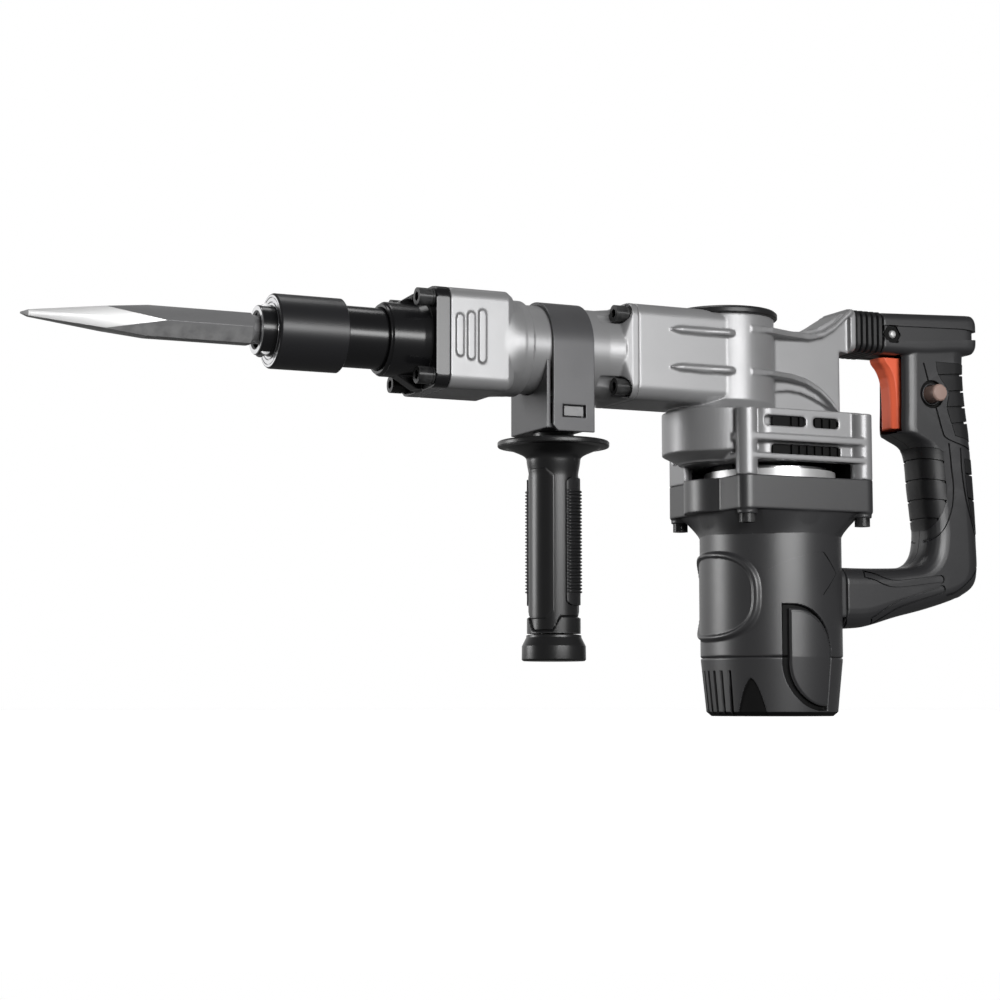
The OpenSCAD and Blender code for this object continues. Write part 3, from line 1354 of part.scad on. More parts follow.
module handle_body() {
    // The pin that the trigger turns on.
    translate([trigger_pivot[0], 0, axis_z + trigger_pivot[1]]) rotate([90, 0, 0])
        cylinder(h = 25, r = trigger_pin_r, center = true);
    difference() {
        union() {
            top_bar();
            grip_form();
        }
        // Pads lie in recesses of their own depth.
        difference() {
            front_zone();
            grip_form(skin);
        }
        difference() {
            rear_zone();
            grip_form(skin);
        }
        // Inner spaces for the switch, its leads and the yoke bolt.
        box_x(bar_x + shell_wall, handle_rear - 17, 12.4, bar_half - shell_wall, 3, bar_mid);
        box_x(bar_x - 1, bar_x + shell_wall + 1, yoke_half + free_gap, yoke_half + free_gap, 1.5, bar_mid);
        translate([trigger_pivot[0] - 8, -12, axis_z - 36]) cube([44, 24, 36 + bar_bottom + 4]);
        translate([trigger_pivot[0] + 22, -9, axis_z - 108]) cube([18, 18, 80]);
        translate([56, -9.5, axis_z - 153]) cube([14, 19, 24]);
        translate([arm_peg_x + 7, -arm_peg_half[0] - 0.1, arm_z - arm_peg_half[1] - 0.1])
            cube([arm_peg_len - 6, 2 * arm_peg_half[0] + 0.2, 2 * arm_peg_half[1] + 0.2]);
        // Slot for the trigger.
        translate([70, -trigger_half_w - free_gap, axis_z - 36.6])
            cube([40, 2 * (trigger_half_w + free_gap), 49]);
        // Recess and hole of the lock button.
        translate([button_x, -button_floor, axis_z + button_z]) rotate([90, 0, 0])
            cylinder(h = 12, r = button_r + 3.5);
        translate([button_x, -6, axis_z + button_z]) rotate([90, 0, 0])
            cylinder(h = 12, r = button_r + run_gap + 0.15);
        // Screws from the right side, the yoke bolt across the bar and the cord gland.
        for (p = HANDLE_SCREWS) translate([p[0], 30, axis_z + p[1]]) rotate([90, 0, 0]) {
            cylinder(h = 42, r = m4_r + 0.02);
            cylinder(h = 19.5, r = m4_head_r + 0.2);
        }
        translate([yoke_bolt[0], 30, axis_z + yoke_bolt[1]]) rotate([90, 0, 0])
            cylinder(h = 60, r = m6_r + 0.02);
        translate([yoke_bolt[0], -hex_floor_y, axis_z + yoke_bolt[1]]) rotate([90, 0, 0])
            cylinder(h = 10, r = hex_recess_r, $fn = 6);
        at_gland(-22) cylinder(h = 40, r = 3);
        at_gland(gland_out) cylinder(h = 10, r = gland_r + 0.02);
    }
}

module rear_handle_left() {
    color([0.22, 0.22, 0.23]) intersection() {
        handle_body();
        translate([0, -60, 0]) cube([200, 60 - 0.01, 300]);
    }
}

module rear_handle_right() {
    color([0.22, 0.22, 0.23]) intersection() {
        handle_body();
        translate([0, 0.01, 0]) cube([200, 60, 300]);
    }
}

module pad_layer() {
    difference() {
        grip_form();
        grip_form(skin);
    }
}

module grip_front_pad() {
    color([0.13, 0.13, 0.13]) intersection() {
        pad_layer();
        front_zone();
    }
}

module grip_rear_pads() {
    color([0.13, 0.13, 0.13]) intersection() {
        pad_layer();
        rear_zone();
    }
}

module rubber_boot() {
    ribs = 5;
    pitch = boot_len / ribs;
    color([0.12, 0.12, 0.12]) difference() {
        union() {
            box_x(plate_x + 0.05, bar_x - 0.05, bar_half_w - 2.2, bar_half - 1.6, 4, bar_mid);
            for (i = [0 : ribs - 1]) box_x(plate_x + 0.05 + i * pitch, plate_x + 0.05 + (i + 0.68) * pitch,
                bar_half_w - 0.4, bar_half + 0.4, 5, bar_mid);
        }
        rod_x(plate_x - 1, bar_x + 1, 9, 0, bar_mid);
    }
}

module handle_bolt() {
    color("lightgray") translate([yoke_bolt[0], 0, axis_z + yoke_bolt[1]]) rotate([90, 0, 0]) {
        translate([0, 0, 1 - bar_half_w]) cylinder(h = 2 * bar_half_w - 2.5, r = m6_r);
        translate([0, 0, hex_floor_y + 0.1]) cylinder(h = 2.6, r = hex_recess_r - 0.6, $fn = 6);
    }
}

module handle_screws() {
    color("black") for (p = HANDLE_SCREWS) translate([p[0], 13, axis_z + p[1]]) rotate([90, 0, 0])
        difference() {
        union() {
            cylinder(h = 2.5, r = m4_head_r);
            cylinder(h = 24, r = m4_r);
        }
        translate([0, 0, -eps]) cylinder(h = 1.5, r = 1.2, $fn = 6);
    }
}

module switch_body() {
    color([0.25, 0.25, 0.27]) {
        translate([trigger_pivot[0] + 9.5, -9.5, axis_z - 26]) cube([24, 21.2, 34]);
        translate([trigger_pivot[0] + 11, -6, axis_z - 34]) cube([18, 12, 8 + eps]);
    }
}

module trigger() {
    rear = trigger_pivot[0] + 4;
    color([0.85, 0.25, 0.15]) difference() {
        side_plate(trigger_half_w) polygon([
            [77.4, 10.6], [78.4, 7.6], [81.6, 4], [84.2, -1.4], [85.4, -7.4], [86, -17.6], [86, -33.2],
            [86.8, -34], [rear - 3, -34], [rear, -31], [rear, 7], [rear - 1, 10.6]]);
        translate([trigger_pivot[0], 0, axis_z + trigger_pivot[1]]) rotate([90, 0, 0])
            cylinder(h = 40, r = trigger_pin_r + run_gap, center = true);
    }
}

module lock_button() {
    color([0.7, 0.6, 0.56]) translate([button_x, 0, axis_z + button_z]) rotate([90, 0, 0])
        translate([0, 0, 12.4]) {
            cylinder(h = button_out - 12.4 - 1 + eps, r = button_r);
            translate([0, 0, button_out - 13.4]) cylinder(h = 1, r1 = button_r, r2 = button_r - 0.8);
        }
}

module cord_gland() {
    color([0.1, 0.1, 0.1]) at_gland(gland_out + 0.5) ring(gland_r, gland_r - 1.8, 4);
}

chisel();
tool_holder();
locking_rollers();
retainer_sleeve();
sleeve_spring();
front_cover();
front_cover_screws();
front_cover_washers();
hammer_case();
hammer_case_screws();
hammer_case_washers();
cylinder_liner();
stop_ring();
damper_ring();
impact_bolt();
ram();
ram_seal();
piston();
piston_seal();
connecting_rod();
wrist_pin();
crankshaft();
crank_gear();
crank_bearings();
gearcase();
crank_cap();
bearing_plate();
armature_shaft();
armature_core();
commutator();
cooling_fan();
armature_bearings();
stator_core();
field_coils();
brush_holders();
carbon_brushes();
brush_covers();
motor_housing();
motor_flange_screws();
motor_end_cap();
end_cap_screws();
clamp_strap();
handle_bracket();
clamp_nut();
clamp_stud();
side_grip();
side_grip_pads();
side_grip_cap();
rear_handle_left();
rear_handle_right();
grip_front_pad();
grip_rear_pads();
rubber_boot();
handle_bolt();
handle_screws();
switch_body();
trigger();
lock_button();
cord_gland();
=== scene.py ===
"""Electric demolition hammer: the finishes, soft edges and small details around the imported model.

The script's own unit is the millimetre. +Z points up along the motor's axis, -X points to the chisel and
-Y to the tool's left side, which the camera faces. Heights written as z are above the motor's flat base,
and angles round the motor are measured from +X toward -Y.
"""

import json
from math import atan2, cos, degrees, hypot, pi, radians, sin, sqrt, tan

import bmesh
import bpy
from mathutils import Matrix, Vector


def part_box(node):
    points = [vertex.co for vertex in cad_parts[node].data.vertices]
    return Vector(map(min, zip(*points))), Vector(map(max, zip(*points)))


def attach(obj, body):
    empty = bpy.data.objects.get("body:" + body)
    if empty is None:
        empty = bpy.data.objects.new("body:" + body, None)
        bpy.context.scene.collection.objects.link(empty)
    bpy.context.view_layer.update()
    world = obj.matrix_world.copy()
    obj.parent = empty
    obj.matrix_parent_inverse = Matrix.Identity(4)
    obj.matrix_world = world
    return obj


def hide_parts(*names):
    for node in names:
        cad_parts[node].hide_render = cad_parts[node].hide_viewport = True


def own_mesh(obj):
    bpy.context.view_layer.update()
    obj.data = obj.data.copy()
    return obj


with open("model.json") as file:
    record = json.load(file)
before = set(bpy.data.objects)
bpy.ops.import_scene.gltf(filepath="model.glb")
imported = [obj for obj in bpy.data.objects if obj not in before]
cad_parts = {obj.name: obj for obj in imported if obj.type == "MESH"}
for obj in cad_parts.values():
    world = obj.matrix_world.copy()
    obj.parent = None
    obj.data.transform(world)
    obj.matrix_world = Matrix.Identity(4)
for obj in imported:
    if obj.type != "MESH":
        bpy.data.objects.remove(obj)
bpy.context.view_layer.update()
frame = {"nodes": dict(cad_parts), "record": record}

MM = 0.001
NODES = frame["nodes"]
BODY_OF = {node: body for body, nodes in frame["record"]["behaviour"]["bodies"].items() for node in nodes}
SLOT_OF = {part["node"]: part["material_slot"] for part in frame["record"]["subparts"]}
SHARP = radians(38)


def corners(node):
    """The lowest and highest corner of a CAD node, in millimetres."""
    low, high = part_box(node)
    return low / MM, high / MM


HOLDER, SLEEVE, COVER = corners("tool_holder"), corners("retainer_sleeve"), corners("front_cover")
CAP, MOTOR, BOOT = corners("crank_cap"), corners("motor_housing"), corners("rubber_boot")
GRIP, GRIP_CAP = corners("side_grip"), corners("side_grip_cap")

AXIS = (HOLDER[0].z + HOLDER[1].z) / 2
# The motor's radius at the flange, above its bevelled foot and at the floor, and the height of its split line.
MOTOR_R, FOOT_R, BASE_R, PARTING_Z = 43.0, 39.7, 36.7, 35.0
BEVEL_Z, PAD_OUT = 2.6, 1.9
SIDE_R, GUARD_R, PAD_TURNS = 14.4, 32.8, (53, 233)
# A brush cover and the groove round it: left, right, low, high and the radius of the two round corners.
LEAF = (-12.1, 16.9, 6.0, 63.4, 26.5)
RECESS = (-16.4, 17.4, 3.4, 66.2, 29.0)
SIDE_X = (GRIP[0].x + GRIP[1].x) / 2
CRANK_X = (CAP[0].x + CAP[1].x) / 2
# On the handle: x, and the height over the barrel's axis.
BUTTON_X, BUTTON_Z = 109.4, -12.1
BOLT_X, BOLT_Z = 80.5, 24


# ---- building meshes


def linked(name, mesh):
    piece = bpy.data.objects.new(name, mesh)
    bpy.context.scene.collection.objects.link(piece)
    return piece


def piece_from(name, points, faces):
    mesh = bpy.data.meshes.new(name)
    mesh.from_pydata([tuple(MM * c for c in p) for p in points], [], faces)
    mesh.update()
    return linked(name, mesh)


def reworked(piece, *steps):
    """Runs steps, each a function of an open mesh, on the piece."""
    form = bmesh.new()
    form.from_mesh(piece.data)
    for step in steps:
        step(form)
    form.to_mesh(piece.data)
    form.free()
    return piece


def weld(form):
    bmesh.ops.remove_doubles(form, verts=form.verts, dist=0.001 * MM)


def righted(piece):
    """Turns the faces outward."""
    return reworked(piece, lambda form: bmesh.ops.recalc_face_normals(form, faces=form.faces))


def cad_copy(name, node):
    """A copy of a CAD node with its corners joined, so that it can be cut."""
    return reworked(linked(name, NODES[node].data.copy()), weld)


def modify(piece, kind, **settings):
    step = piece.modifiers.new(kind.lower(), kind)
    for name, value in settings.items():
        setattr(step, name, value)


def settle(piece):
    """Makes the piece's modifiers part of its mesh."""
    bpy.context.view_layer.update()
    shape = piece.evaluated_get(bpy.context.evaluated_depsgraph_get())
    mesh = bpy.data.meshes.new_from_object(shape)
    old = piece.data
    piece.modifiers.clear()
    piece.data = mesh
    bpy.data.meshes.remove(old)
    return piece


def drop(*pieces):
    for piece in pieces:
        mesh = piece.data
        bpy.data.objects.remove(piece)
        bpy.data.meshes.remove(mesh)


def joined(name, pieces):
    """One piece from several, which may touch but keep their own faces."""
    points, faces, places = [], [], []
    for piece in pieces:
        first = len(points)
        points += [v.co / MM for v in piece.data.vertices]
        faces += [[first + i for i in p.vertices] for p in piece.data.polygons]
        places += [p.material_index for p in piece.data.polygons]
    whole = piece_from(name, points, faces)
    for polygon, place in zip(whole.data.polygons, places):
        polygon.material_index = place
    drop(*pieces)
    return whole


def combine(piece, tools, operation):
    for tool in tools:
        modify(piece, "BOOLEAN", operation=operation, solver="MANIFOLD", object=tool)
    settle(piece)
    drop(*tools)
    return piece


def cut(piece, *tools):
    return combine(piece, tools, "DIFFERENCE")


def fuse(piece, *tools):
    return combine(piece, tools, "UNION")


def keep(piece, *tools):
    """Keeps what the piece shares with the tools."""
    return combine(piece, tools, "INTERSECT")


def soften(piece, voxel, rounds, most=95_000):
    """Rounds every edge and fills every corner, as a casting or a moulding has them."""
    modify(piece, "REMESH", mode="VOXEL", voxel_size=voxel * MM)
    modify(piece, "SMOOTH", factor=0.5, iterations=rounds)
    settle(piece)
    count = len(piece.data.polygons) * 2
    if count > most:
        modify(piece, "DECIMATE", ratio=most / count)
        settle(piece)
    return piece


def cast(name, node, voxel, rounds, most=95_000):
    return soften(linked(name, NODES[node].data.copy()), voxel, rounds, most)


def dress(piece, node, *finishes, slot=None):
    """Gives a piece its finishes and its body; slot is not used. It stands for a CAD node, or with None it is
    an extra on the housing."""
    mesh = piece.data
    places = [polygon.material_index for polygon in mesh.polygons]
    for polygon in mesh.polygons:
        polygon.use_smooth = True
    mesh.set_sharp_from_angle(angle=SHARP)
    mesh.materials.clear()
    for name in finishes:
        mesh.materials.append(FINISHES[name])
    if len(finishes) > 1:
        mesh.polygons.foreach_set("material_index", places)
    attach(piece, BODY_OF[node] if node else "housing")
    if node:
        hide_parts(node)
    return piece


def moved(piece, x, z, turn=0, about="X"):
    """Turns a piece by degrees about an axis through the origin, then moves it to (x, 0, z)."""
    piece.data.transform(Matrix.Translation(Vector((x, 0, z)) * MM) @ Matrix.Rotation(radians(turn), 4, about))
    return piece


def rounded(outline, steps=6):
    """An outline of (a, b, radius) corners as points, with each corner rounded to its radius."""
    points = []
    last = len(outline) - 1
    for i, (a, b, radius) in enumerate(outline):
        if radius == 0 or i in (0, last):
            points.append((a, b))
            continue
        here = Vector((a, b))
        back = Vector(outline[i - 1][:2]) - here
        ahead = Vector(outline[i + 1][:2]) - here
        bend = back.angle(ahead)
        if bend > radians(179):
            points.append((a, b))
            continue
        reach = min(radius / tan(bend / 2), back.length * 0.5, ahead.length * 0.5)
        r = reach * tan(bend / 2)
        middle = here + (back.normalized() + ahead.normalized()).normalized() * (r / sin(bend / 2))
        start = here + back.normalized() * reach - middle
        turn = start.angle_signed(here + ahead.normalized() * reach - middle)
        for k in range(steps + 1):
            p = middle + Matrix.Rotation(-turn * k / steps, 2) @ start
            points.append((p.x, p.y))
    return points


def ring_faces(rows, columns, closed_rows=False):
    faces = []
    for i in range(rows if closed_rows else rows - 1):
        a, b = i * columns, (i + 1) % rows * columns
        faces += [(a + j, a + (j + 1) % columns, b + (j + 1) % columns, b + j) for j in range(columns)]
    return faces


def around(count):
    """The angles of so many points round a circle."""
    return [2 * pi * k / count for k in range(count)]


def turned(name, outline, columns=160, centre=None, along="x", bands=()):
    """A turned form from (position, radius) points. A closed outline makes a ring; bands are (from, to,
    material) stretches of the outline that take another material."""
    u, v = centre or ((0, AXIS) if along == "x" else (0, 0))
    points = []
    for position, radius in outline:
        for a in around(columns):
            p, q = u + radius * cos(a), v + radius * sin(a)
            points.append((position, p, q) if along == "x" else (p, q, position))
    piece = piece_from(name, points, ring_faces(len(outline), columns, closed_rows=True))
    for row_from, row_to, place in bands:
        for polygon in piece.data.polygons[row_from * columns : row_to * columns]:
            polygon.material_index = place
    return righted(piece)


def pipe(r, start, end, columns, centre=None, along="z", inner=0.1):
    """A thick-walled pipe, upright unless it is said to lie along x."""
    return turned("cutter", [(start, inner), (start, r), (end, r), (end, inner)], columns, centre, along)


def loft(rings, name="form"):
    """A closed form through rings that have the same number of points."""
    n = len(rings[0])
    points = [p for ring in rings for p in ring]
    faces = ring_faces(len(rings), n)
    faces += [tuple(range(n))[::-1], tuple(range(len(points) - n, len(points)))]
    return righted(piece_from(name, points, faces))


def spline(points, per):
    """A smooth curve through the points, with `per` steps from one to the next."""
    ends = [2 * Vector(points[0]) - Vector(points[1])] + [Vector(p) for p in points]
    ends.append(2 * Vector(points[-1]) - Vector(points[-2]))
    curve = []
    for i in range(1, len(ends) - 2):
        p0, p1, p2, p3 = ends[i - 1 : i + 3]
        second, third = 2 * p0 - 5 * p1 + 4 * p2 - p3, 3 * p1 - p0 - 3 * p2 + p3
        for k in range(per):
            t = k / per
            curve.append(0.5 * (2 * p1 + (p2 - p0) * t + second * t**2 + third * t**3))
    curve.append(ends[-2])
    return curve


def tube(path, radius, sides=6):
    """A round cutter along a path of points."""
    path = [Vector(p) for p in path]
    rings = []
    side = None
    for i, here in enumerate(path):
        ahead = (path[min(i + 1, len(path) - 1)] - path[max(i - 1, 0)]).normalized()
        if side is None:
            side = ahead.orthogonal().normalized()
        side = (side - ahead * side.dot(ahead)).normalized()
        other = ahead.cross(side)
        rings.append([here + (side * cos(a) + other * sin(a)) * radius for a in around(sides)])
    return loft(rings, "cutter")


def block(low, high):
    """A plain box, used only as a cutter."""
    (x0, y0, z0), (x1, y1, z1) = low, high
    points = [(x, y, z) for z in (z0, z1) for y in (y0, y1) for x in (x0, x1)]
    faces = [(0, 2, 3, 1), (4, 5, 7, 6), (0, 1, 5, 4), (2, 6, 7, 3), (0, 4, 6, 2), (1, 3, 7, 5)]
    return piece_from("cutter", points, faces)


def slab(outline, y0, y1):
    """A prism across the tool, from an outline of (x, z) points."""
    n = len(outline)
    points = [(x, y0, z) for x, z in outline] + [(x, y1, z) for x, z in outline]
    faces = [tuple(range(n)), tuple(range(2 * n - 1, n - 1, -1))]
    faces += [(i, (i + 1) % n, n + (i + 1) % n, n + i) for i in range(n)]
    return righted(piece_from("cutter", points, faces))


def smoothstep(low, high, value):
    t = min(1, max(0, (value - low) / (high - low)))
    return t * t * (3 - 2 * t)


# ---- shared surface effects


def effect_group(name, inputs, outputs):
    """A shader group with its sockets made, and its entry and exit nodes."""
    tree = bpy.data.node_groups.new(name, "ShaderNodeTree")
    for label, value in inputs:
        tree.interface.new_socket(label, in_out="INPUT", socket_type="NodeSocketFloat").default_value = value
    for label in outputs:
        tree.interface.new_socket(label, in_out="OUTPUT", socket_type="NodeSocketFloat")
    return tree, tree.nodes.new("NodeGroupInput"), tree.nodes.new("NodeGroupOutput")


def feed(tree, socket, value):
    """Sets an input to a constant, or links an output to it."""
    if isinstance(value, (int, float, tuple)):
        socket.default_value = value
    else:
        tree.links.new(value, socket)


def fed(tree, made, inputs):
    """Feeds a node's inputs, where a name may have _ for each space."""
    for label, value in inputs.items():
        feed(tree, made.inputs[label.replace("_", " ")], value)
    return made


def shader(tree, kind, **inputs):
    return fed(tree, tree.nodes.new("ShaderNode" + kind), inputs)


def noise(tree, source, scale, detail=2.0):
    return shader(tree, "TexNoise", Vector=source, Scale=scale, Detail=detail).outputs["Fac"]


def arithmetic(tree, operation, first, *others):
    """Works from the first value through the others."""
    for other in others:
        made = shader(tree, "Math")
        made.operation = operation
        feed(tree, made.inputs[0], first)
        feed(tree, made.inputs[1], other)
        first = made.outputs[0]
    return first


def stepped(tree, value, low, high, start=0.0, end=1.0):
    """Brings a value that goes from low to high into the range from start to end."""
    step = shader(tree, "MapRange", Value=value, From_Min=low, From_Max=high, To_Min=start, To_Max=end)
    return step.outputs["Result"]


def mixed(tree, amount, first, second):
    """A colour between two colours."""
    mix = shader(tree, "Mix")
    mix.data_type = "RGBA"
    for place, value in ((0, amount), (6, first), (7, second)):
        feed(tree, mix.inputs[place], value)
    return mix.outputs[2]


def object_place(tree):
    return shader(tree, "TexCoord").outputs["Object"]


def make_grain():
    """Fine grain of a blasted casting or an eroded mould, with slow patches on top."""
    inputs = [("Grains per metre", 2500.0), ("Patches per metre", 60.0)]
    tree, entry, out = effect_group("grain", inputs, ["Height", "Patches"])
    place = object_place(tree)
    feed(tree, out.inputs["Height"], noise(tree, place, entry.outputs[0], 3.0))
    feed(tree, out.inputs["Patches"], noise(tree, place, entry.outputs[1], 2.0))
    return tree


def make_edge_highlight():
    """A painted highlight on sharp edges, broken up by noise: 1 on a lit edge and 0 on a face."""
    tree, entry, out = effect_group("painted edge highlight", [("Start", 0.52), ("Full", 0.6)], ["Wear"])
    ridge = stepped(tree, shader(tree, "NewGeometry").outputs["Pointiness"], *entry.outputs[:2])
    uneven = stepped(tree, noise(tree, object_place(tree), 140.0, 3.0), 0.25, 0.6)
    feed(tree, out.inputs["Wear"], arithmetic(tree, "MULTIPLY", ridge, uneven))
    return tree


def make_turning_marks():
    """The fine rings that a lathe leaves round the barrel's axis, or along X on a ground bar."""
    tree, entry, out = effect_group("turning marks", [("Rings per metre", 1800.0)], ["Height"])
    parts = shader(tree, "SeparateXYZ", Vector=object_place(tree))
    line = shader(tree, "CombineXYZ", X=parts.outputs["X"])
    feed(tree, out.inputs["Height"], noise(tree, line.outputs[0], entry.outputs[0], 2.0))
    return tree


GRAIN = make_grain()
EDGE_HIGHLIGHT = make_edge_highlight()
TURNING = make_turning_marks()


def placed(tree, group, **inputs):
    """A shared effect in a material, with its inputs fed."""
    made = shader(tree, "Group")
    made.node_tree = group
    return fed(tree, made, inputs)


def new_material(name):
    material = bpy.data.materials.new(name)
    material.use_nodes = True
    return material, material.node_tree


def paint(tree, inputs):
    """Feeds a material's surface."""
    fed(tree, tree.nodes["Principled BSDF"], inputs)


def shaded(colour, factor):
    return tuple(min(1, c * factor) for c in colour) + (1,)


def finish(name, colour, roughness, metallic=0.0, grains=2500.0, grain_depth=0.0, patches=0.06, uneven=0.05,
           edge=None, turning=0.0, specular=0.5):
    """A surface finish. patches and uneven are how far its colour and gloss wander, and edge is the colour and
    the amount of a painted highlight on its sharp edges."""
    material, tree = new_material(name)
    grain = placed(tree, GRAIN, Grains_per_metre=grains)
    wander = grain.outputs["Patches"]
    shown = mixed(tree, wander, shaded(colour, 1 - patches), shaded(colour, 1 + patches))
    # Painted highlight: sharp edges are lightened toward the edge colour.
    if edge:
        edge_light = placed(tree, EDGE_HIGHLIGHT).outputs["Wear"]
        shown = mixed(tree, arithmetic(tree, "MULTIPLY", edge_light, edge[1]), shown, edge[0] + (1,))
    inputs = {"Base Color": shown, "Metallic": metallic, "Specular IOR Level": specular,
              "Roughness": stepped(tree, wander, 0.0, 1.0, roughness - uneven, roughness + uneven)}
    if grain_depth or turning:
        marks = placed(tree, TURNING) if turning else grain
        depth = MM * (turning or grain_depth)
        bump = shader(tree, "Bump", Distance=depth, Strength=1.0, Height=marks.outputs["Height"])
        inputs["Normal"] = bump.outputs["Normal"]
    paint(tree, inputs)
    return material


# Each edge entry is the colour and amount of a painted highlight on sharp edges.
FINISHES = {
    "cast_aluminium": finish("silver casting", (0.36, 0.36, 0.365), 0.4, 0.35, 1600.0, 0.012, 0.03, 0.04,
        edge=((0.75, 0.75, 0.75), 0.5)),
    "black_steel": finish("gloss black steel", (0.01, 0.01, 0.011), 0.24, 0.0, 900.0, 0.0, 0.006, 0.004,
        specular=0.45),
    "sleeve_steel": finish("charcoal coated steel", (0.018, 0.018, 0.02), 0.36, 0.0, 2600.0, 0.004, 0.01,
        0.008),
    "bright_steel": finish("machined bright steel", (0.72, 0.72, 0.73), 0.2, 1.0, turning=0.004),
    "ground_steel": finish("ground steel", (0.66, 0.66, 0.66), 0.42, 0.5, turning=0.002),
    "chisel_steel": finish("heat-treated steel", (0.27, 0.27, 0.275), 0.42, 0.4, 2200.0, 0.006, 0.02, 0.02,
        edge=((0.6, 0.6, 0.6), 0.6)),
    "spring_steel": finish("spring steel", (0.4, 0.4, 0.41), 0.3, 1.0),
    "clamp_steel": finish("grey coated sheet", (0.1, 0.1, 0.104), 0.42, 0.2, 3000.0, 0.008, 0.06, 0.05,
        edge=((0.4, 0.4, 0.4), 0.4)),
    "black_fastener": finish("black oxide screw", (0.006, 0.006, 0.0065), 0.26, 0.0,
        edge=((0.2, 0.2, 0.2), 0.3), specular=0.25),
    "motor_plastic": finish("dark grey plastic", (0.034, 0.034, 0.036), 0.4, 0.0, 3200.0, 0.01, 0.03, 0.02,
        edge=((0.16, 0.16, 0.165), 0.3), specular=0.9),
    "handle_plastic": finish("charcoal plastic", (0.026, 0.026, 0.028), 0.4, 0.0, 3200.0, 0.01, 0.03, 0.02,
        edge=((0.14, 0.14, 0.145), 0.3), specular=0.8),
    "grip_rubber": finish("soft black rubber", (0.014, 0.014, 0.015), 0.46, 0.0, 3600.0, 0.012, 0.04, 0.03,
        specular=0.5),
    "side_grip_plastic": finish("black satin plastic", (0.014, 0.014, 0.0145), 0.34, 0.0, 3000.0, 0.006,
        0.03, 0.02, edge=((0.12, 0.12, 0.12), 0.3)),
    "trigger_plastic": finish("orange-red plastic", (1.0, 0.17, 0.08), 0.4, 0.0, 2600.0, 0.004, 0.03, 0.03,
        specular=0.25),
    "button_plastic": finish("taupe plastic", (0.4, 0.275, 0.235), 0.45, 0.0, 2600.0, 0.006, 0.04, 0.03),
    "cap_plastic": finish("dark coated cap", (0.018, 0.018, 0.019), 0.4, 0.0, 2600.0, 0.006, 0.06, 0.04,
        edge=((0.3, 0.3, 0.3), 0.4)),
    "seal_rubber": finish("black seal rubber", (0.02, 0.02, 0.02), 0.6, 0.0, 3000.0, 0.01),
    "copper": finish("copper wire", (0.5, 0.2, 0.08), 0.35, 1.0, 1400.0, 0.02),
    "lamination_steel": finish("stacked laminations", (0.28, 0.28, 0.29), 0.45, 0.8, turning=0.01),
    "carbon": finish("pressed carbon", (0.03, 0.03, 0.033), 0.6, 0.0, 3000.0, 0.01),
    "brush_brass": finish("pressed brass", (0.6, 0.42, 0.16), 0.35, 1.0),
    # fan_plastic also serves as painted shade: the cage insert, the motor's grooves, arch and foot, and the
    # button's well.
    "fan_plastic": finish("matt black nylon and painted shade", (0.007, 0.007, 0.007), 0.6, 0.0, 2600.0, 0.006, specular=0.15),
}


# ---- front end


def chisel_bar():
    """The hexagon bar and its ground point: the facets are bright, the rest is heat-treated grey."""
    def flatten(form):
        bmesh.ops.dissolve_limit(form, angle_limit=radians(1), verts=form.verts, edges=form.edges)
    bar = reworked(linked("chisel_bar", NODES["chisel"].data.copy()), weld, flatten)
    modify(bar, "BEVEL", width=0.22 * MM, segments=2, limit_method="ANGLE", angle_limit=radians(15))
    settle(bar)
    dress(bar, "chisel", "chisel_steel", "ground_steel")
    rear = corners("chisel")[0].x + 90
    for polygon in bar.data.polygons:
        ground = -0.5 < polygon.normal.x < -0.02 and polygon.center.x / MM < rear
        polygon.material_index = int(ground)


def holder_tube():
    """The turned tube that holds the chisel: gloss black, with a bright bevel round its mouth."""
    front, bore, nose, tube_r = HOLDER[0].x, 10.1, 13.85, 17.45
    shoulder, end = front + 32.4, COVER[0].x + 6
    outline = rounded(
        [
            (end, bore, 0), (front + 1, bore, 0), (front, bore + 0.9, 0.2), (front, nose - 0.4, 0.2),
            (front + 0.4, nose, 0.2), (shoulder, nose, 0.6), (shoulder, tube_r, 0.8), (end, tube_r, 0),
        ],
        4,
    )
    tube_piece = turned("holder_tube", outline, centre=(0, AXIS), bands=[(1, 15, 1)])
    dress(tube_piece, "tool_holder", "black_steel", "bright_steel")


def sleeve():
    """The retaining sleeve: charcoal outside, bright stepped rings on its front face."""
    front, back = SLEEVE[0].x, SLEEVE[1].x
    r = (SLEEVE[1].z - SLEEVE[0].z) / 2
    lip, bore, wide = 8, 13.92, 17.52
    outline = rounded(
        [
            (front + lip, wide, 0), (front + lip, bore, 0), (front + 0.5, bore, 0), (front, bore + 0.5, 0),
            (front, 15.6, 0), (front + 0.9, 15.7, 0), (front + 0.9, 16.3, 0), (front + 0.1, 16.4, 0),
            (front + 0.1, 18.4, 0), (front + 0.7, 18.5, 0), (front + 0.7, 18.9, 0), (front, 19.0, 0),
            (front, r - 0.7, 0.5), (front + 1.1, r, 0.8), (back - 0.5, r, 0), (back, r - 0.5, 0),
            (back, wide, 0),
        ],
        5,
    )
    form = turned("sleeve_body", outline, centre=(0, AXIS), bands=[(2, 12, 1)])
    dress(form, "retainer_sleeve", "sleeve_steel", "bright_steel")


